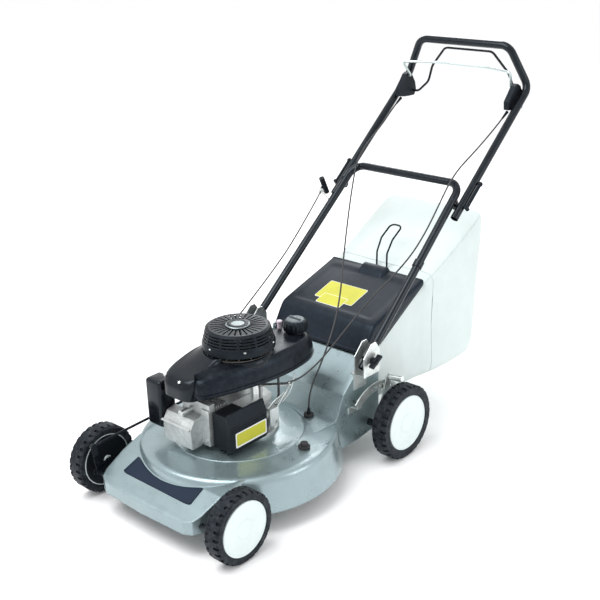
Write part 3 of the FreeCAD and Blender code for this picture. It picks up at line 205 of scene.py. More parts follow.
def frames_along(line):
    """Unit tangents, and two unit normals that keep to one side of the path."""
    tangent = np.gradient(line, axis=0)
    tangent /= np.linalg.norm(tangent, axis=1)[:, None]
    side = np.cross(tangent, [0.0, 0.0, 1.0])
    flat = np.linalg.norm(side, axis=1) < 0.2
    side[flat] = np.cross(tangent[flat], [1.0, 0.0, 0.0])
    side /= np.linalg.norm(side, axis=1)[:, None]
    return tangent, side, np.cross(side, tangent)


def grid_faces(rows, columns, wrap_rows=False, wrap_columns=False):
    """Quads of a grid of points; a wrapped direction is joined to its start."""
    r = np.arange(rows if wrap_rows else rows - 1)
    c = np.arange(columns if wrap_columns else columns - 1)
    a, b = np.meshgrid(r, c, indexing="ij")
    a2, b2 = (a + 1) % rows, (b + 1) % columns
    quads = np.stack([a * columns + b, a2 * columns + b, a2 * columns + b2, a * columns + b2],
                     axis=-1)
    return quads.reshape(-1, 4)


def tube_mesh(name, line, radius, sides=12):
    """A round tube: at each path point a ring of radius times (side cos t + lift sin t)."""
    _, side, lift = frames_along(line)
    turn = full_turn(sides)
    ring = (np.cos(turn)[None, :, None] * side[:, None, :]
            + np.sin(turn)[None, :, None] * lift[:, None, :])
    points = line[:, None, :] + ring * np.broadcast_to(np.atleast_1d(radius), len(line))[:, None, None]
    faces = grid_faces(len(line), sides, wrap_columns=True).tolist()
    last = (len(line) - 1) * sides
    faces += [list(range(sides))[::-1], list(range(last, last + sides))]
    thing = new_mesh(name, points.reshape(-1, 3), faces)
    recalculate(thing)
    shade_smooth(thing, 40)
    return thing


def shade_smooth(thing, degrees=35):
    """Smooth shading, with edges sharper than the angle kept crisp."""
    thing.data.shade_smooth()
    thing.data.set_sharp_from_angle(angle=math.radians(degrees))


def recalculate(thing):
    """Turns all faces of a closed mesh outwards."""
    work = bmesh.new()
    work.from_mesh(thing.data)
    bmesh.ops.recalc_face_normals(work, faces=work.faces)
    work.to_mesh(thing.data)
    work.free()


def split_at(line, y):
    """Index of the path point nearest to the plane of the design at this Y."""
    return int(np.argmin(np.abs(line[:, 1] - (y + SHIFT_Y) * MM)))


CABLE_D = 5 * MM
ROPE_D = 4.4 * MM
HOSE_D = 7 * MM
cord_pieces = {}
for name, points, cut_y in (("clutch_cable", CLUTCH_CABLE, 735), ("brake_cable", BRAKE_CABLE, 725)):
    line = route_line(name, points)
    cut = split_at(line, cut_y)
    upper, lower = line[:cut + 1], line[cut:]
    top = tube_mesh(name + "_upper", upper, CABLE_D / 2)
    low = tube_mesh(name + "_lower", lower, CABLE_D / 2)
    cord_pieces[name] = (top, low)
    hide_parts(name)
    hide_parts(name)
    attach(top, "upper_handle")
    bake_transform(low)
    print(name, "upper", round(run_length(upper), 3), "lower", round(run_length(lower), 3))

rope_line = route_line("starter_rope", ROPE)
rope = tube_mesh("starter_rope_cord", rope_line, ROPE_D / 2)
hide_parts("starter_rope")
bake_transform(rope)
hose_line = route_line("fuel_hose", FUEL_LINE)
hose = tube_mesh("fuel_hose_cord", hose_line, HOSE_D / 2)
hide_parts("fuel_hose")
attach(hose, "deck")
print("rope", round(run_length(rope_line), 3), "hose", round(run_length(hose_line), 3))


# %% [markdown]
# ## Finishes
# Every surface gets a procedural finish.  A finish starts from one base colour.  Cloudy noise
# makes it lighter and darker, fine noise gives the grain of a moulding or the skin of a paint,
# and the Bevel node finds the edges, which are painted brighter: partly wear from hands and
# grass, partly a painted highlight.  All patterns read Object coordinates, which are true metres
# on every piece.

# %% A helper that wires one finish
def wire(tree, kind, **settings):
    """Adds one node; keys with a capital set inputs, others set the node's own properties."""
    node = tree.nodes.new(kind)
    for key, value in settings.items():
        if key in node.inputs:
            node.inputs[key].default_value = value
        else:
            setattr(node, key, value)
    return node


def mix_colours(tree, share, first, second):
    """Colour mix; each of the three may be a value or another node's output."""
    node = tree.nodes.new("ShaderNodeMix")
    node.data_type = "RGBA"
    for index, source in ((0, share), (6, first), (7, second)):
        if hasattr(source, "is_output"):
            tree.links.new(source, node.inputs[index])
        else:
            node.inputs[index].default_value = source
    return node.outputs[2]


def scale_range(tree, source, low, high, to_low, to_high):
    """Maps a value from one range to another and keeps it inside."""
    node = wire(tree, "ShaderNodeMapRange", **{"From Min": low, "From Max": high,
                                               "To Min": to_low, "To Max": to_high})
    tree.links.new(source, node.inputs["Value"])
    return node.outputs["Result"]


def noise(tree, scale, detail, rough=0.5):
    """Noise on Object coordinates, in cycles per metre."""
    where = wire(tree, "ShaderNodeTexCoord")
    node = wire(tree, "ShaderNodeTexNoise", Scale=scale, Detail=detail, Roughness=rough)
    tree.links.new(where.outputs["Object"], node.inputs["Vector"])
    return node.outputs["Fac"]


def edge_mask(tree, radius):
    """Near 1 on outside edges: how far the rounded normal leaves the true one."""
    bevel = wire(tree, "ShaderNodeBevel", Radius=radius, samples=4)
    geometry = wire(tree, "ShaderNodeNewGeometry")
    dot = wire(tree, "ShaderNodeVectorMath", operation="DOT_PRODUCT")
    tree.links.new(bevel.outputs["Normal"], dot.inputs[0])
    tree.links.new(geometry.outputs["Normal"], dot.inputs[1])
    return scale_range(tree, dot.outputs["Value"], 0.995, 0.88, 0.0, 1.0), bevel


# cycles per metre of the noise for clouds, dust specks, edge patches of wear and painted highlight, and
# uneven roughness
CLOUD_SCALE, SPECK_SCALE, WEAR_AND_HIGHLIGHT_SCALE, ROUGH_SCALE = 14.0, 60.0, 90.0, 30.0
COAT_ROUGHNESS = 0.1
finishes = {}


def finish(name, colour, roughness, metallic=0.0, specular=0.5, reflection=(1.0, 1.0, 1.0), coat=0.0,
           sheen=0.0, clouds=0.12, grain=900.0, grain_depth=0.00005, rounding=0.0, edge=None,
           edge_share=0.5, edge_radius=0.0015, dust=None, dust_share=0.0):
    """One complete finish, kept in finishes under its name."""
    material = bpy.data.materials.new(name)
    material.use_nodes = True
    tree = material.node_tree
    shader = tree.nodes["Principled BSDF"]
    shader.inputs["Metallic"].default_value = metallic
    shader.inputs["Coat Weight"].default_value = coat
    shader.inputs["Coat Roughness"].default_value = COAT_ROUGHNESS
    shader.inputs["Sheen Weight"].default_value = sheen
    shader.inputs["Specular IOR Level"].default_value = specular
    shader.inputs["Specular Tint"].default_value = (*reflection, 1.0)
    base = np.array([*colour, 1.0])
    low, high = base * (1 - clouds), base * (1 + clouds)
    low[3] = high[3] = 1.0
    cloud = scale_range(tree, noise(tree, CLOUD_SCALE, 4.0), 0.3, 0.7, 0.0, 1.0)
    tone = mix_colours(tree, cloud, tuple(low), tuple(np.minimum(high, 1.0)))
    fine = noise(tree, grain, 2.0, 0.6)
    if dust is not None:
        specks = scale_range(tree, noise(tree, SPECK_SCALE, 6.0, 0.7), 0.45, 0.75, 0.0, dust_share)
        tone = mix_colours(tree, specks, tone, (*dust, 1.0))
    normal_from = None
    # edges get a lighter colour in patches: partly wear, partly a painted highlight
    if edge is not None:
        mask, bevel = edge_mask(tree, edge_radius)
        worn_and_highlighted = wire(tree, "ShaderNodeMath", operation="MULTIPLY")
        tree.links.new(mask, worn_and_highlighted.inputs[0])
        patches = scale_range(tree, noise(tree, WEAR_AND_HIGHLIGHT_SCALE, 5.0, 0.7), 0.35, 0.62, 0.0, edge_share)
        tree.links.new(patches, worn_and_highlighted.inputs[1])
        tone = mix_colours(tree, worn_and_highlighted.outputs[0], tone, (*edge, 1.0))
        normal_from = bevel.outputs["Normal"]
    tree.links.new(tone, shader.inputs["Base Color"])
    rough = scale_range(tree, noise(tree, ROUGH_SCALE, 4.0), 0.3, 0.7, max(roughness - 0.05, 0.03),
                        min(roughness + 0.07, 1.0))
    tree.links.new(rough, shader.inputs["Roughness"])
    bump = wire(tree, "ShaderNodeBump", Strength=1.0, Distance=grain_depth)
    tree.links.new(fine, bump.inputs["Height"])
    if rounding:
        # a wide rounding of pressed sheet takes the place of the narrow one of the edges
        normal_from = wire(tree, "ShaderNodeBevel", Radius=rounding, samples=4).outputs["Normal"]
    if normal_from is not None:
        tree.links.new(normal_from, bump.inputs["Normal"])
    tree.links.new(bump.outputs["Normal"], shader.inputs["Normal"])
    finishes[name] = material


# %% The mower's finishes
# black plastic and paint reflect little; the blue tint of what they reflect is painted in, standing for
# bluish light
BLACK = {"specular": 0.2, "reflection": (0.62, 0.82, 1.0)}
# the deck's pale edge colour is a painted highlight along its edges
finish("deck_paint", (0.265, 0.345, 0.365), 0.30, metallic=0.7, coat=0.5, clouds=0.05, grain=1600,
       grain_depth=2e-5, rounding=0.006, edge=(0.62, 0.70, 0.72), edge_radius=0.002)
finish("black_tube", (0.004, 0.005, 0.007), 0.24, coat=0.25, clouds=0.2, grain=1200, grain_depth=2e-5,
       edge=(0.06, 0.065, 0.07), dust=(0.03, 0.035, 0.04), dust_share=0.2, **BLACK)
finish("zinc_steel", (0.62, 0.66, 0.65), 0.36, metallic=0.9, clouds=0.16, grain=500,
       edge=(0.86, 0.9, 0.9), dust=(0.30, 0.31, 0.29), dust_share=0.4)
finish("blade_steel", (0.35, 0.35, 0.34), 0.42, metallic=0.9, clouds=0.25, grain=400,
       edge=(0.8, 0.8, 0.8), dust=(0.16, 0.12, 0.08), dust_share=0.5)
finish("cast_aluminium", (0.58, 0.61, 0.61), 0.48, metallic=0.75, clouds=0.14, grain=420,
       grain_depth=0.00025, edge=(0.85, 0.88, 0.88), dust=(0.22, 0.23, 0.22), dust_share=0.5)
finish("cast_iron", (0.10, 0.10, 0.10), 0.6, metallic=0.5, grain=420, grain_depth=3e-4,
       edge=(0.35, 0.34, 0.33), dust=(0.16, 0.09, 0.05), dust_share=0.4)
finish("engine_plastic", (0.005, 0.006, 0.008), 0.36, clouds=0.2, grain=1500, grain_depth=6e-5,
       edge=(0.05, 0.055, 0.06), edge_radius=0.003, dust=(0.03, 0.035, 0.035), dust_share=0.16, **BLACK)
finish("flap_plastic", (0.010, 0.013, 0.019), 0.34, clouds=0.16, grain=1300, grain_depth=8e-5,
       edge=(0.06, 0.07, 0.09), edge_radius=0.003, dust=(0.035, 0.04, 0.045), dust_share=0.25, **BLACK)
finish("control_plastic", (0.006, 0.007, 0.009), 0.42, clouds=0.2, grain=1500, grain_depth=6e-5,
       edge=(0.08, 0.09, 0.1), edge_radius=0.002, **BLACK)
finish("wheel_plastic", (0.64, 0.72, 0.715), 0.42, clouds=0.03, grain=1400, grain_depth=4e-5,
       edge=(0.80, 0.85, 0.85), edge_share=0.3, edge_radius=0.002, dust=(0.50, 0.56, 0.54),
       dust_share=0.2)
finish("tyre_rubber", (0.009, 0.010, 0.013), 0.55, clouds=0.25, grain=800, grain_depth=0.00012,
       edge=(0.09, 0.10, 0.12), edge_share=0.8, dust=(0.10, 0.11, 0.11), dust_share=0.35, **BLACK)
finish("rubber_black", (0.018, 0.018, 0.02), 0.6, clouds=0.2, edge=(0.07, 0.07, 0.08))
finish("bag_cloth", (0.59, 0.665, 0.655), 0.85, sheen=0.3, clouds=0.03, grain=700, grain_depth=2e-4)
finish("label_film", (0.009, 0.018, 0.036), 0.45, specular=0.15, clouds=0.05, grain_depth=1e-5,
       edge=(0.12, 0.16, 0.22))
finish("cable_sheath", (0.020, 0.021, 0.023), 0.4, clouds=0.2, grain=1500)
finish("rope_cord", (0.035, 0.035, 0.035), 0.8, clouds=0.3, grain=2500, grain_depth=3e-4)
finish("chrome_steel", (0.50, 0.57, 0.57), 0.28, metallic=0.8, clouds=0.05, edge=(0.75, 0.80, 0.80),
       dust=(0.4, 0.44, 0.44), dust_share=0.2)
finish("shroud_gloss", (0.004, 0.005, 0.007), 0.22, coat=0.2, clouds=0.2, grain=1500, grain_depth=2e-5,
       edge=(0.05, 0.055, 0.06), edge_radius=0.003, dust=(0.03, 0.035, 0.04), dust_share=0.12, **BLACK)
finish("tank_plastic", (0.005, 0.006, 0.009), 0.30, clouds=0.2, grain_depth=8e-5,
       dust=(0.06, 0.07, 0.08), dust_share=0.2, **BLACK)
finish("cap_grey", (0.055, 0.075, 0.085), 0.4, clouds=0.08, grain=1300, grain_depth=6e-5,
       edge=(0.25, 0.29, 0.30))
finish("vent_pale", (0.56, 0.48, 0.55), 0.5, clouds=0.05, grain=1300, grain_depth=3e-5)
finish("satin_disc", (0.24, 0.28, 0.29), 0.34, metallic=0.8, clouds=0.08, edge=(0.7, 0.74, 0.75),
       dust=(0.2, 0.22, 0.22), dust_share=0.2)
finish("sticker_yellow", (0.50, 0.49, 0.03), 0.4, clouds=0.06, grain=700, grain_depth=1e-5,
       dust=(0.36, 0.35, 0.06), dust_share=0.25)
finish("sticker_white", (0.78, 0.80, 0.78), 0.42, clouds=0.03, grain=700, grain_depth=1e-5)
finish("bag_binding", (0.52, 0.60, 0.59), 0.8, sheen=0.3, clouds=0.06, grain=1800, grain_depth=2e-4)


def dress(thing, finish_name):
    """Gives a piece one finish on all its faces."""
    thing.data.materials.clear()
    thing.data.materials.append(finishes[finish_name])
    for face in thing.data.polygons:
        face.material_index = 0


# %% Finishes on the CAD nodes
node_slots = {entry["node"]: entry["material_slot"] for entry in frame["record"]["subparts"]}
print("nodes without a slot", sorted(set(nodes) - set(node_slots)))
for node, thing in nodes.items():
    slot = node_slots.get(node, "engine_plastic")
    dress(thing, slot)
for pair in cord_pieces.values():
    for piece in pair:
        dress(piece, "cable_sheath")
dress(rope, "rope_cord")
dress(hose, "rubber_black")


# %% [markdown]
# ## Tools for the moulded and sewn pieces
# The engine's plastics, the flap and the bag are smooth, so the flat-sided CAD stand-ins give way
# to surfaces worked out as whole grids of points.  An outline is drawn with few points and its
# corners are cut again and again, which turns it into a soft curve.

# %% Outlines and grids
def soften(points, rounds=3, closed=True):
    """Corner cutting: every edge gives new points at one quarter and three quarters of it."""
    line = np.asarray(points, float)
    for _ in range(rounds):
        following = np.roll(line, -1, axis=0) if closed else line[1:]
        current = line if closed else line[:-1]
        cut = np.stack([current * 0.75 + following * 0.25, current * 0.25 + following * 0.75], axis=1)
        cut = cut.reshape(-1, line.shape[1])
        line = cut if closed else np.vstack([line[:1], cut, line[-1:]])
    return line


def along(line, share):
    """Points at given shares of a line's own points, straight between them."""
    steps = np.linspace(0.0, 1.0, len(line))
    return np.stack([np.interp(share, steps, line[:, k]) for k in range(line.shape[1])], axis=-1)


def surface(name, grid, wrap_rows=False, wrap_columns=False, caps=False, crease=35):
    """Mesh of a grid of design points; wrapped directions close, caps fill the first and last row."""
    rows, columns = grid.shape[:2]
    faces = grid_faces(rows, columns, wrap_rows, wrap_columns).tolist()
    if caps:
        faces.append(list(range(columns))[::-1])
        faces.append(list(range((rows - 1) * columns, rows * columns)))
    thing = new_mesh(name, place(grid).reshape(-1, 3), faces)
    work = bmesh.new()
    work.from_mesh(thing.data)
    bmesh.ops.remove_doubles(work, verts=work.verts, dist=1e-6)
    bmesh.ops.recalc_face_normals(work, faces=work.faces)
    work.to_mesh(thing.data)
    work.free()
    shade_smooth(thing, crease)
    return thing


def settle(thing, body, finish_name, slot, *nodes_replaced):
    """Finish and body of a new piece, and the CAD nodes that it stands for; the slot is not used."""
    dress(thing, finish_name)
    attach(thing, body)
    if nodes_replaced:
        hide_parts(*nodes_replaced)
    print(thing.name, len(thing.data.polygons), "faces")
    return thing


def rounded_box(name, low, high, radius, steps=32):
    """A ball of the radius whose points are pushed apart to the box's corners: box plus ball."""
    low, high = np.asarray(low, float), np.asarray(high, float)
    lat, lon = np.meshgrid(np.linspace(-math.pi / 2, math.pi / 2, steps // 2 + 1),
                           full_turn(steps) + math.pi / steps,
                           indexing="ij")
    ball = np.stack([np.cos(lat) * np.cos(lon), np.cos(lat) * np.sin(lon), np.sin(lat)], axis=-1)
    inner = (high - low) / 2 - radius
    pushed = np.clip(ball * 1e4, -1, 1) * inner
    pushed[np.abs(ball) < 1e-9] = 0.0
    return surface(name, (low + high) / 2 + pushed + ball * radius, wrap_columns=True)


# %% [markdown]
# ## The pressed dome of the deck
# The deck is drawn from one steel sheet, so its ring has no hard corners: the top is nearly flat,
# rolls over a wide shoulder and falls steeply to the skirt.  A profile turned about the blade's
# axis gives this, and its shading is smooth all the way.

# %% Dome
DISH = np.array([0.0, -66.0])
dome_line = soften([(100, 171.2), (180, 170.9), (202, 167.0), (226, 165.2), (250, 164.2), (268, 163.2),
                    (280, 160), (286, 150), (290, 128), (296, 95), (300.9, 68), (301.2, 60.5),
                    (298, 60.2)], 3, closed=False)
DOME_STEPS = 256
dome_turn = full_turn(DOME_STEPS)
grid = np.stack([DISH[0] + dome_line[:, 0:1] * np.cos(dome_turn),
                 DISH[1] + dome_line[:, 0:1] * np.sin(dome_turn),
                 np.broadcast_to(dome_line[:, 1:2], (len(dome_line), DOME_STEPS))], axis=-1)
settle(surface("deck_dome", grid, wrap_columns=True, crease=80), "deck", "deck_paint", "deck_paint")


# %% [markdown]
# ## The cooling shroud
# A glossy moulding covers the flywheel.  Seen from above its edge is a rounded outline, and its
# top climbs from the front to the starter cover.  It is worked out in polar steps about the
# crankshaft: a wall goes up to the edge, the edge rolls over through a quarter circle, and the
# top runs in to a ring that hides under the starter cover.

# %% Shroud over the flywheel
CRANK = np.array([0.0, -46.0])
COVER_R = 104.0
SHROUD_EDGE = [(-96, 42), (-112, -60), (-112, -150), (-106, -222), (-84, -263), (-36, -264), (4, -263),
               (26, -244), (24, -196), (26, -150), (52, -110), (84, -80), (92, -20), (60, 42), (0, 64)]
SHROUD_TOP = [(-275, 366), (-255, 384), (-230, 392), (-190, 400), (-150, 409), (-110, 416), (90, 418)]


def shroud_height(y):
    """Height of the shroud's top line over the Y of the design."""
    curve = soften(SHROUD_TOP, 3, closed=False)
    return np.interp(y, curve[:, 0], curve[:, 1])


def polar_outline(points, turns):
    """Distance of a softened outline from the crankshaft in each direction."""
    edge = soften(points, 3) - CRANK
    angle = np.arctan2(edge[:, 1], edge[:, 0])
    order = np.argsort(angle)
    return np.interp(turns, angle[order], np.hypot(*edge[order].T), period=2 * math.pi)


SHROUD_STEPS = 180
turns = np.linspace(-math.pi, math.pi, SHROUD_STEPS, endpoint=False)
edge_reach = polar_outline(SHROUD_EDGE, turns)
LEAST_REACH = COVER_R - 3.0
reach = np.maximum(edge_reach, LEAST_REACH)
EDGE_ROLL = 20.0
ROLL_STEPS = 9
roll = np.linspace(0, math.pi / 2, ROLL_STEPS)[:, None]
rolled = reach - EDGE_ROLL * (1 - np.cos(roll))
flat_share = np.linspace(0, 1, 10)[1:, None]
inner_ring = COVER_R - 6.0
topped = ((reach - EDGE_ROLL) * (1 - flat_share)
          + np.minimum(inner_ring, reach - EDGE_ROLL) * flat_share)
radius = np.vstack([reach[None] - 3, reach[None], reach[None], rolled, topped])
spot_y = CRANK[1] + radius * np.sin(turns)
lid = shroud_height(spot_y)
# the three rows of the wall have no drop below the lid, which -1 marks
drop = np.vstack([np.full((3, SHROUD_STEPS), -1.0),
                  np.broadcast_to(EDGE_ROLL * (1 - np.sin(roll)), rolled.shape), np.zeros_like(topped)])
height = np.where(drop < 0, 0, lid - drop)
WALL_FOOT, WALL_FOOT_OVER_TANK = 329.0, 388.0
height[0] = np.where(edge_reach < LEAST_REACH, WALL_FOOT_OVER_TANK, WALL_FOOT)
height[1] = height[0] + 2
# near the starter cover the top sweeps up to meet its base
SWEEP = 13.0
height[-len(flat_share):] += SWEEP * flat_share ** 2
height[2] = lid[2] - EDGE_ROLL - 8
grid = np.stack([CRANK[0] + radius * np.cos(turns), spot_y, height], axis=-1)
shroud = surface("shroud_skin", grid, wrap_columns=True)
wall = shroud.modifiers.new("wall", "SOLIDIFY")
wall.thickness = 2.2 * MM
wall.offset = -1
settle(shroud, "deck", "shroud_gloss", "engine_plastic", "engine_shroud")
duct = rounded_box("shroud_duct", (-163, -262, 214), (-99, -204, 356), 11)
settle(duct, "deck", "shroud_gloss", "engine_plastic", "engine_shroud")


# %% [markdown]
# ## The fuel tank
# The tank is blown from a soft tube between two mould halves, so it has a bulging side, a
# rounded shoulder and a thin pinched seam round its middle.  Its wall is one cross section that
# is carried round the left and the rear of the engine.

# %% Tank
TANK_FOOT = [(24, -244), (44, -244), (58, -228), (81, -160), (97, -98), (111, -38), (116, 35), (109, 107),
             (98, 152), (78, 182), (48, 192), (0, 188), (-26, 168), (-32, 138), (-30, 46)]
TANK_INSIDE = [(20, -236), (20, -230), (20, -214), (22, -168), (40, -110), (58, -50), (58, 10), (50, 40),
               (40, 56), (26, 66), (14, 70), (0, 70), (-10, 66), (-16, 58), (-16, 44)]
foot = soften(TANK_FOOT, 3, closed=False)
inside = soften(TANK_INSIDE, 3, closed=False)
TANK_BOTTOM, TANK_BELT, TANK_TOP = 338.0, 356.0, 404.0
TANK_SHOULDER = 27.0
inward = inside - foot
depth = np.linalg.norm(inward, axis=1)[:, None]
inward = inward / depth
# each row of the section: how far in from the foot's outline, and its height
low_roll = np.linspace(0, math.pi / 2, 6)
high_roll = np.linspace(0, math.pi / 2, 12)
step_in = [8 * (1 - math.sin(a)) for a in low_roll]
step_z = [TANK_BOTTOM + 8 * (1 - math.cos(a)) for a in low_roll]
for out, z in ((0, 0), (0, 1.0), (-3.2, 1.5), (-3.2, 3.0), (0, 3.5), (0.4, 5)):
    step_in.append(out)
    step_z.append(TANK_BELT - 6 + z)
for a in high_roll:
    step_in.append(0.6 + TANK_SHOULDER * (1 - math.cos(a)))
    step_z.append(TANK_BELT + (TANK_TOP - TANK_BELT) * math.sin(a) ** 0.85)
step_in, step_z = np.array(step_in)[:, None, None], np.array(step_z)[:, None]
wall_plan = foot[None] + inward[None] * step_in
lean = np.broadcast_to(step_z, wall_plan.shape[:2])
rise = np.interp(foot[:, 1], [-240, -150, -90, 160], [-12, 0, 4, 4])
lean = lean + (lean - TANK_BELT).clip(0) / (TANK_TOP - TANK_BELT) * rise
skin = np.concatenate([wall_plan, lean[..., None]], axis=-1)
top_row = skin[-1:]
hidden_top = np.concatenate([inside, np.full((len(inside), 1), TANK_TOP + 4)], axis=1)
hidden_low = np.concatenate([inside, np.full((len(inside), 1), TANK_BOTTOM)], axis=1)
between = top_row * 0.5 + hidden_top[None] * 0.5 + np.array([0, 0, 2.0])
section = np.concatenate([skin, between, hidden_top[None], hidden_low[None]], axis=0)
tank = surface("fuel_tank_shell", section.transpose(1, 0, 2), wrap_columns=True, caps=True)
settle(tank, "deck", "tank_plastic", "engine_plastic", "fuel_tank")
FILLER = np.array([38.0, 148.0, 402.0])


def turned_shell(name, profile, centre, steps=64, ribs=0, rib_depth=0.0, crease=35):
    """A profile of (radius, height) turned about an upright axis; ribs ripple its radius."""
    profile = np.asarray(profile, float)
    turn = full_turn(steps)
    ripple = rib_depth * np.cos(turn * ribs)
    r = profile[:, 0][:, None] + ripple * (profile[:, 0][:, None] > 0)
    z = np.broadcast_to(profile[:, 1][:, None], r.shape)
    grid = np.stack([centre[0] + r * np.cos(turn), centre[1] + r * np.sin(turn), z], axis=-1)
    return surface(name, grid, wrap_columns=True, crease=crease)


neck = turned_shell("fuel_tank_neck", [(0, 400), (27, 400), (27, 404), (24, 408), (22, 412), (22, 424),
                                       (0, 424)], FILLER)
settle(neck, "deck", "tank_plastic", "engine_plastic", "fuel_tank")
cap = turned_shell("fuel_cap_body", [(0, 416), (33, 416), (34.5, 418), (34.5, 438), (33, 443), (29, 446),
                                     (0, 446)], FILLER, steps=144, ribs=18, rib_depth=1.1, crease=50)
settle(cap, "fuel_cap", "engine_plastic", "engine_plastic", "fuel_cap")
cap_top = turned_shell("fuel_cap_top", [(0, 445), (26, 445), (27.5, 447), (26, 450), (20, 451.5),
                                        (0, 452)], FILLER)
settle(cap_top, "fuel_cap", "cap_grey", "engine_plastic")
cap_bar = rounded_box("fuel_cap_bar", FILLER + (-22, -3.5, 46), FILLER + (22, 3.5, 54), 3)
settle(cap_bar, "fuel_cap", "cap_grey", "engine_plastic")
vent = turned_shell("tank_vent_plug", [(0, 400), (7, 400), (7, 424), (9, 426), (9, 430), (7, 432),
                                       (0, 432.6)], (-20, 142))
settle(vent, "deck", "vent_pale", "engine_plastic")


# %% [markdown]
# ## Trim on the starter cover
# The starter cover keeps its CAD shape, with its slots and louvres.  A satin metal disc with a
# dark band sits in its middle.  Small screws with a cross in their heads hold its base and the
# shroud.

# %% Disc, band and screws
COVER_TOP = 486.0
disc = turned_shell("starter_disc", [(0, COVER_TOP), (34, COVER_TOP), (35, COVER_TOP + 2.2),
                                     (33, COVER_TOP + 4), (0, COVER_TOP + 5)], CRANK)
settle(disc, "deck", "satin_disc", "zinc_steel")
band = turned_shell("starter_band", [(19, COVER_TOP + 3), (31, COVER_TOP + 3), (31, COVER_TOP + 4.6),
                                     (30, COVER_TOP + 5.2), (20, COVER_TOP + 5.4), (19, COVER_TOP + 5)],
                    CRANK)
settle(band, "deck", "engine_plastic", "engine_plastic")


def screw(name, centre, axis, head=4.0):
    """A domed screw head: rings about its axis, with a dip of four lobes in the dome."""
    axis = np.asarray(axis, float) / np.linalg.norm(axis)
    one = np.cross(axis, [0.3, 0.9, 0.1])
    one /= np.linalg.norm(one)
    two = np.cross(axis, one)
    turn = full_turn(24)
    radius = np.array([1.0, 1.0, 0.9, 0.7, 0.45, 0.2, 0.0])[:, None] * head
    lift = np.array([-0.3, 0.25, 0.45, 0.55, 0.58, 0.6, 0.6])[:, None] * head
    cross = 0.35 * head * (np.abs(np.cos(2 * turn)) > 0.8) * (radius < 0.6 * head)
    points = (np.asarray(centre, float) + radius[..., None] * (np.cos(turn)[:, None] * one
              + np.sin(turn)[:, None] * two) + (lift - cross)[..., None] * axis)
    thing = surface(name, points, wrap_columns=True)
    return settle(thing, "deck", "zinc_steel", "zinc_steel")


SCREW_RING, SCREW_Z = 101, 443
for number, degrees in enumerate((-150, -95, -35, 25, 85, 150)):
    spot = math.radians(degrees)
    screw(f"starter_screw_{number + 1}",
          (CRANK[0] + SCREW_RING * math.cos(spot), CRANK[1] + SCREW_RING * math.sin(spot), SCREW_Z),
          (math.cos(spot), math.sin(spot), 1.2))
for number, (x, y, z) in enumerate(((-84, -250, 388), (-20, -256, 386), (-96, -150, 402))):
    screw(f"shroud_screw_{number + 1}", (x, y, z - 5), (0, -0.4, 1), 4.5)


# %% [markdown]
# ## Stickers
# A sticker is a thin sheet laid on a flat face, with rounded corners and a pale border.  The
# ones here stay blank: a coloured field inside a border and nothing more.

# %% Blank stickers
STEEP = 1e4


def rim(half, corner, steps):
    """X and Y of a rounded rectangle: a small circle whose quarters are pushed to the corners."""
    turn = full_turn(steps) + 0.01
    waves = np.cos(turn), np.sin(turn)
    return [np.clip(wave * STEEP, -1, 1) * far + wave * corner for wave, far in zip(waves, half)]


def sticker(name, corner, across, down, body, field, slot, radius=4.0, thick=0.35):
    """A plate on a flat face: a rounded rectangle of rings from its rim to its middle."""
    corner, across, down = (np.asarray(v, float) for v in (corner, across, down))
    width, height = np.linalg.norm(across), np.linalg.norm(down)
    across_unit, down_unit = across / width, down / height
    normal = np.cross(down_unit, across_unit)
    half = (width / 2 - radius, height / 2 - radius)
    middle = corner + across / 2 + down / 2
    rings = []
    for inset, lift in ((0, 0.0), (0, thick), (0.4, thick + 0.05)):
        ring = rim(half, radius - inset, 48)
        rings.append(middle + ring[0][:, None] * across_unit + ring[1][:, None] * down_unit
                     + lift * normal)
    rings.append(np.broadcast_to(middle + (thick + 0.05) * normal, rings[0].shape))
    thing = surface(name, np.array(rings), wrap_columns=True, crease=30)
    return settle(thing, body, field, slot)


CLEANER_FACE_X = 119.0
sticker("air_cleaner_sticker_border", (CLEANER_FACE_X, -190, 243), (0, 120, 0), (0, 0, -45),
        "air_cleaner_cover", "sticker_white", "label_film")
sticker("air_cleaner_sticker", (CLEANER_FACE_X + 0.4, -186, 239), (0, 112, 0), (0, 0, -36),
        "air_cleaner_cover", "sticker_yellow", "label_film")


# %% [markdown]
# A broad blank plate lies across the nose of the deck.  Its lower edge is straight, its upper edge
# follows the ring of the dome, and it bends with the slope below it.

# %% Nose plate
NOSE_SLOPE = [(-418, 107), (-330, 144), (-262, 161)]


def nose_height(y):
    """Height of the nose's slope over the Y of the design."""
    return np.interp(y, *np.array(NOSE_SLOPE, float).T)


PLATE_HALF, PLATE_NARROWING = 137, 4
PLATE_LOW_Y, PLATE_HIGH_Y, PLATE_ARCH = -386, -359, 34
plate_across = np.linspace(-1, 1, 41)
plate_up = np.linspace(0, 1, 9)[:, None]
corner_cut = 5 * (np.abs(plate_across) ** 24)
plate_low = PLATE_LOW_Y + corner_cut
plate_high = PLATE_HIGH_Y + PLATE_ARCH * plate_across ** 2 - corner_cut
plate_y = plate_low * (1 - plate_up) + plate_high * plate_up
plate_x = plate_across * (PLATE_HALF - PLATE_NARROWING * plate_up)
plate_grid = np.stack([plate_x, plate_y, nose_height(plate_y) + 0.9], axis=-1)
nose_plate = surface("nose_plate", plate_grid)
thick = nose_plate.modifiers.new("plate", "SOLIDIFY")
thick.thickness = 0.8 * MM
settle(nose_plate, "deck", "label_film", "label_film", "deck_label")


# %% [markdown]
# The front wheels are closed on their inner side by a black pressed cover with a rolled rim, so
# that grass stays out of the bearing.

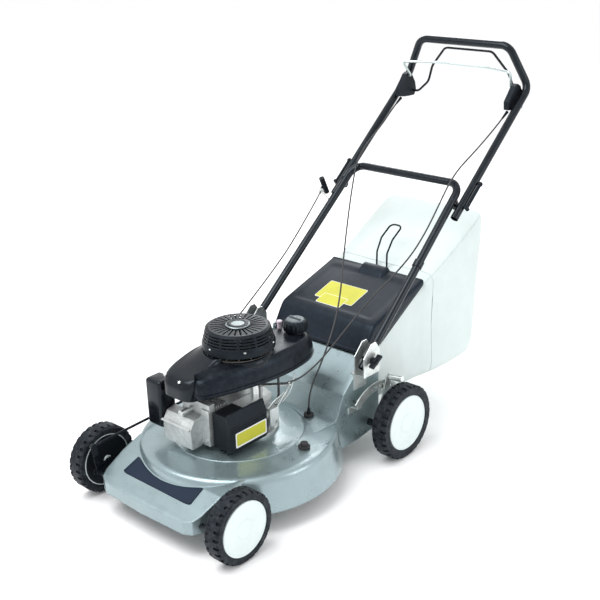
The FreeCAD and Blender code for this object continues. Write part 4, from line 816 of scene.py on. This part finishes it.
# %% Inner wheel covers
FRONT_AXLE_Y, FRONT_AXLE_Z = -347.5, 100.0
COVER_PROFILE = [(13, 257), (13, 254.6), (17, 254), (40, 255.4), (62, 255.4), (68, 254.2), (74, 255.2),
                 (75, 257.4), (70, 258), (13, 258)]
cover_turn = full_turn(72)
for side, sign in (("left", 1), ("right", -1)):
    profile = np.array(COVER_PROFILE)
    ring_y = FRONT_AXLE_Y + profile[:, 0:1] * np.cos(cover_turn)
    ring_z = FRONT_AXLE_Z + profile[:, 0:1] * np.sin(cover_turn)
    ring_x = np.broadcast_to(sign * profile[:, 1:2], ring_y.shape)
    cover = surface("wheel_inner_cover_" + side, np.stack([ring_x, ring_y, ring_z], axis=-1),
                    wrap_rows=True, wrap_columns=True)
    settle(cover, "front_wheel_" + side, "control_plastic", "control_plastic")


# %% [markdown]
# ## Governor rods
# Thin bright rods and a spring join the governor to the carburettor under the tank.

# %% Rods and spring
GOVERNOR_ROUTES = {"governor_rod": [(124, -30, 262), (126, -8, 285), (122, 18, 300), (112, 40, 312)],
                   "governor_arm": [(112, 60, 330), (118, 44, 306), (124, 20, 282), (112, 4, 262)],
                   "choke_rod": [(118, -60, 268), (124, -44, 286), (126, -20, 292), (120, 6, 296)]}
ROD_RADIUS, WIRE_RADIUS, COIL_RADIUS, COIL_TURNS = 1.6, 0.8, 4.0, 9
for name, route in GOVERNOR_ROUTES.items():
    rod = tube_mesh(name, route_line(name, route), ROD_RADIUS * MM, sides=8)
    settle(rod, "deck", "zinc_steel", "zinc_steel")
coil_turn = np.linspace(0, 2 * math.pi * COIL_TURNS, COIL_TURNS * 14)
coil_share = np.linspace(0, 1, len(coil_turn))[:, None]
coil_start, coil_end = np.array([(122.0, -36, 276)]), np.array([(124.0, 14, 290)])
coil_axis = coil_start * (1 - coil_share) + coil_end * coil_share
coil_ring = np.stack([np.cos(coil_turn), np.zeros_like(coil_turn), np.sin(coil_turn)], axis=-1)
coil_line = place(coil_axis + COIL_RADIUS * coil_ring)
spring = tube_mesh("governor_spring", coil_line, WIRE_RADIUS * MM, sides=6)
settle(spring, "deck", "zinc_steel", "zinc_steel")


# %% [markdown]
# ## The rear flap
# The flap is one moulded sheet, bent over the discharge opening: a short steep front, a long
# back and sides that roll down into flanges.  The sheet is worked out as rows along its profile
# and columns across it, and Solidify gives it its thickness.

# %% Flap
FLAP_HALF = 184.0
FLAP_ROLL = 9.0
FLAP_CROWN = 2.5
PANEL_DEPTH = 1.6
flap_profile = soften([(287, 331), (300, 352), (328, 398), (344, 406), (400, 423), (480, 446.5),
                       (566, 472), (578, 477.5)], 3, closed=False)
flap_y, flap_z = flap_profile.T
flange_low = np.interp(flap_y, [287, 312, 362, 574, 580], [329, 335, 334, 458, 466])
roll_turn = np.linspace(0, math.pi / 2, 7)
edge_x = np.concatenate([[0, 0, 0], FLAP_ROLL * (1 - np.cos(roll_turn))])
edge_drop = np.concatenate([[1.0, 0.66, 0.33], np.zeros_like(roll_turn)])
edge_dip = np.concatenate([[0, 0, 0], FLAP_ROLL * (1 - np.sin(roll_turn))])
fall = (flap_z - FLAP_ROLL - flange_low).clip(0.5)[:, None] * edge_drop + np.where(
    edge_drop > 0, FLAP_ROLL, edge_dip)
left_x = -FLAP_HALF + edge_x
middle_x = np.linspace(left_x[-1], -left_x[-1], 41)[1:-1]
all_x = np.concatenate([left_x, middle_x, -left_x[::-1]])
all_fall = np.hstack([fall, np.zeros((len(flap_y), len(middle_x))), fall[:, ::-1]])
crown = FLAP_CROWN * (1 - (all_x / FLAP_HALF) ** 2)[None] * np.interp(
    flap_y, [300, 340, 560, 578], [0, 1, 1, 0])[:, None]
# a shallow panel with a soft rim is pressed into the long back
panel = np.interp(np.abs(all_x), [150, 156], [1, 0])[None] * np.interp(
    flap_y, [352, 360, 540, 548], [0, 1, 1, 0])[:, None]
grid = np.stack([np.broadcast_to(all_x, all_fall.shape),
                 np.broadcast_to(flap_y[:, None], all_fall.shape),
                 flap_z[:, None] - all_fall + crown - PANEL_DEPTH * panel], axis=-1)
flap = surface("flap_sheet", grid)
wall = flap.modifiers.new("wall", "SOLIDIFY")
wall.thickness = 3.0 * MM
wall.offset = -1 if flap.data.polygons[len(flap.data.polygons) // 2].normal.z > 0 else 1
settle(flap, "discharge_flap", "flap_plastic", "flap_plastic", "discharge_flap")
hinge_turn = full_turn(24)
hinge_x = np.array([-173.0, -173, -171, 171, 173, 173])
hinge_r = np.array([0.0, 5.5, 7.0, 7.0, 5.5, 0.0])
HINGE_Y, HINGE_Z = 290, 327
grid = np.stack([np.broadcast_to(hinge_x[:, None], (len(hinge_x), len(hinge_turn))),
                 HINGE_Y + hinge_r[:, None] * np.cos(hinge_turn),
                 HINGE_Z + hinge_r[:, None] * np.sin(hinge_turn)], axis=-1)
settle(surface("flap_hinge", grid, wrap_columns=True), "discharge_flap", "flap_plastic", "flap_plastic",
       "discharge_flap")

# the finger grip: a raised wedge with sloping ends at the rear edge
grip_profile = soften([(528, 456), (542, 470), (552, 481), (572, 489), (583, 486), (580, 474)], 2,
                      closed=False)
GRIP_HALF = 52
grip_share = np.linspace(-1, 1, 25)
base_z = np.interp(grip_profile[:, 0], flap_y, flap_z) - 3
sink = np.interp(np.abs(grip_share), [0.86, 1.0], [0.0, 1.0])
grip_z = grip_profile[:, 1][:, None] * (1 - sink) + base_z[:, None] * sink
grip_x = np.broadcast_to(GRIP_HALF * grip_share, grip_z.shape)
grid = np.stack([grip_x, np.broadcast_to(grip_profile[:, 0][:, None], grip_x.shape), grip_z], axis=-1)
grip = surface("flap_grip", grid)
wall = grip.modifiers.new("wall", "SOLIDIFY")
wall.thickness = 2.4 * MM
settle(grip, "discharge_flap", "flap_plastic", "flap_plastic", "discharge_flap")


def flap_sticker(name, x, y, width, length, lift, field):
    """Rings of a rounded rectangle, from its rim to its middle, laid on the curve of the flap."""
    corner = 5.0
    rim_x, rim_y = rim((width / 2 - corner, length / 2 - corner), corner, 64)
    scale = np.array([1.0, 1.0, 0.8, 0.6, 0.4, 0.2, 0.0])[:, None]
    px = x + width / 2 + rim_x * scale
    py = y + length / 2 + rim_y * scale
    raised = np.array([-1.5] + [lift] * 6)[:, None]
    back_z = (np.interp(py, flap_y, flap_z) + FLAP_CROWN * (1 - (px / FLAP_HALF) ** 2)
              - PANEL_DEPTH + raised)
    thing = surface(name, np.stack([px, py, back_z], axis=-1), wrap_columns=True, crease=30)
    return settle(thing, "discharge_flap", field, "label_film")


# the small one overlaps the large one, so it lies higher
for name, x, y, width, length, high in (("flap_sticker_large", -96, 384, 150, 84, 0.5),
                                        ("flap_sticker_small", -72, 361, 96, 46, 1.0)):
    flap_sticker(name + "_border", x, y, width, length, high, "sticker_white")
    flap_sticker(name, x + 1.5, y + 1.5, width - 3, length - 3, high + 0.25, "sticker_yellow")


# %% [markdown]
# ## The grass bag
# The bag is woven cloth sewn over a wire mouth.  It is a tube that starts at the mouth, steps up
# under the flap and widens to the rear, where a panel closes it.  A loft gives this: every row
# is a boxy ring between a line along the bottom and a line along the top.  The cloth between the
# seams sags inwards, its belly hangs, and it has folds where it is drawn to the corners.

# %% The bag's loft
BAG_LOW = [(352, 147), (372, 146), (420, 145), (480, 143), (560, 141), (600, 141), (680, 139),
           (760, 139), (818, 142), (842, 156), (848, 184)]
BAG_HIGH = [(352, 309), (366, 352), (382, 404), (470, 428), (566, 455), (602, 474), (690, 521),
            (790, 574), (856, 610), (884, 625), (893, 622)]
BAG_WIDTH = [171, 172, 173, 175, 178, 190, 199, 200, 200, 197, 190]
BAG_ROWS = 120
BAG_COLUMNS = 160
row_share = np.linspace(0, 1, BAG_ROWS)
low_line = along(soften(BAG_LOW, 2, closed=False), row_share)
high_line = along(soften(BAG_HIGH, 2, closed=False), row_share)
half_line = along(soften(np.array(BAG_WIDTH, float)[:, None], 2, closed=False), row_share)[:, 0]
around = full_turn(BAG_COLUMNS)


def boxy(value, power):
    """A sine or cosine to a power below one, with its sign: a circle becomes a boxy ring."""
    return np.sign(value) * np.abs(value) ** power


BOXINESS = 0.18
SAG = 7.0
REAR_BULGE = 9
side_part = boxy(np.cos(around), BOXINESS)
lift_part = boxy(np.sin(around), BOXINESS)
ring_x = half_line[:, None] * side_part
lift = 0.5 + 0.5 * lift_part
spine = high_line - low_line
ring_y = low_line[:, 0:1] + spine[:, 0:1] * lift
ring_z = low_line[:, 1:2] + spine[:, 1:2] * lift
# the sides are drawn in between top and bottom, and the belly and the roof hang a little
flat_side = np.clip(1 - lift_part ** 2, 0, 1)
flat_top = np.clip(1 - side_part ** 2, 0, 1)
free = np.interp(row_share, [0, 0.12, 0.45, 0.6, 1], [0, 0.3, 0.6, 1, 0.6])[:, None]
ring_x = ring_x - np.sign(side_part) * SAG * flat_side * free
ring_z = ring_z - SAG * flat_top * free * np.where(lift_part > 0, 1.0, 0.35)


def folds(x, y, z):
    """Soft folds of the cloth: three crossing waves whose lines wander."""
    wander = 1.4 * np.sin(0.011 * y + 0.7) + 0.9 * np.sin(0.017 * z)
    first = np.sin(0.060 * (0.75 * z + 0.55 * y) + 1.6 * wander)
    second = np.sin(0.041 * (0.9 * z - 0.5 * y) + 2.3 * wander + 0.02 * x)
    third = np.sin(0.105 * (0.25 * z + 0.9 * y) + 1.1 * wander)
    return 1.3 * first ** 3 + 1.1 * second + 0.6 * third


puff = folds(ring_x, ring_y, ring_z) * np.interp(
    row_share, [0, 0.1, 0.9, 1], [0.15, 0.8, 1, 0.4])[:, None]
ring_x = ring_x + side_part * flat_side * puff
ring_z = ring_z + lift_part * flat_top * puff * 0.8
bag_rings = np.stack([ring_x, ring_y, ring_z], axis=-1)
# rings that shrink to the middle of the rear panel, which bulges a little
last = bag_rings[-1]
centre = last.mean(axis=0)
shrink = np.linspace(0, 1, 22)[1:]
cap_rings = last[None] * (1 - shrink[:, None, None]) + centre * shrink[:, None, None]
cap_rings[..., 1] += (REAR_BULGE * np.sin(shrink * math.pi / 2))[:, None]
cap_puff = folds(cap_rings[..., 0] * 1.3, cap_rings[..., 0], cap_rings[..., 2])
cap_rings[..., 1] += 0.8 * cap_puff * np.sin(shrink * math.pi)[:, None]
bag_grid = np.concatenate([bag_rings, cap_rings])
bag = surface("bag_cloth_shell", bag_grid, wrap_columns=True, crease=60)
print("bag rows", len(bag_grid), "columns", BAG_COLUMNS)


# a ring near the rear and a little extra for the hems are set aside, but nothing uses them;
# Solidify gives the cloth its thickness
GIRTH_ROW, HEM_SHARE = 80, 1.02
girth_ring = place(bag_rings[GIRTH_ROW])
thick = bag.modifiers.new("cloth", "SOLIDIFY")
thick.thickness = 1.2 * MM
thick.offset = -1
settle(bag, "bag", "bag_cloth", "bag_cloth", "bag_fabric")


# %% [markdown]
# Sewn bindings run along the four long corners, round the mouth, round the step and round the
# rear panel.

# %% Seams of the bag
SEAM_RADIUS = 1.7


def seam(name, line):
    """A sewn binding: a thin tube along a line of points on the cloth."""
    thing = tube_mesh(name, place(line), SEAM_RADIUS * MM, sides=8)
    return settle(thing, "bag", "bag_binding", "bag_cloth")


corner_columns = [int(round(a / (2 * math.pi) * BAG_COLUMNS)) for a in np.radians([45, 135, 225, 315])]
for name, column in zip(("upper_left", "upper_right", "lower_right", "lower_left"), corner_columns):
    seam("bag_seam_" + name, bag_rings[4:-1, column])
for name, row in (("mouth", 3), ("step", 62), ("rear", BAG_ROWS - 2)):
    ring = bag_rings[row]
    seam("bag_seam_" + name, np.vstack([ring, ring[:2]]))


# %% [markdown]
# ## Cable ends
# A cable leaves its housing through a short tapered sleeve that keeps it from kinking, and a
# wider boot closes the clutch cable's lower end.

# %% Sleeves and boot
def sleeve(name, line, start_radius, end_radius, body):
    """A tapered tube along the first stretch of a cable."""
    radii = np.linspace(start_radius, end_radius, len(line)) * MM
    return settle(tube_mesh(name, line, radii, sides=16), body, "control_plastic", "control_plastic")


def first_stretch(line, length):
    """The start of a path up to a length in metres."""
    gone = np.concatenate([[0], np.cumsum(np.linalg.norm(np.diff(line, axis=0), axis=1))])
    return line[:max(int(np.searchsorted(gone, length)), 3)]


clutch_line = route_line("clutch_cable", CLUTCH_CABLE)
brake_line = route_line("brake_cable", BRAKE_CABLE)
sleeve("clutch_cable_sleeve", first_stretch(clutch_line, 0.035), 5.0, 3.0, "upper_handle")
sleeve("brake_cable_sleeve", first_stretch(brake_line, 0.035), 5.0, 3.0, "upper_handle")
sleeve("clutch_cable_boot", first_stretch(clutch_line[::-1], 0.04), 8.5, 3.2, "deck")


# %% [markdown]
# ## The floor
# The studio floor gets a pale, rough paper finish.

# %% Floor finish
paper = bpy.data.materials.new("studio_floor")
paper.use_nodes = True
paper_shader = paper.node_tree.nodes["Principled BSDF"]
paper_shader.inputs["Base Color"].default_value = (0.96, 0.965, 0.97, 1.0)
paper_shader.inputs["Roughness"].default_value = 0.9
floor.data.materials.clear()
floor.data.materials.append(paper)
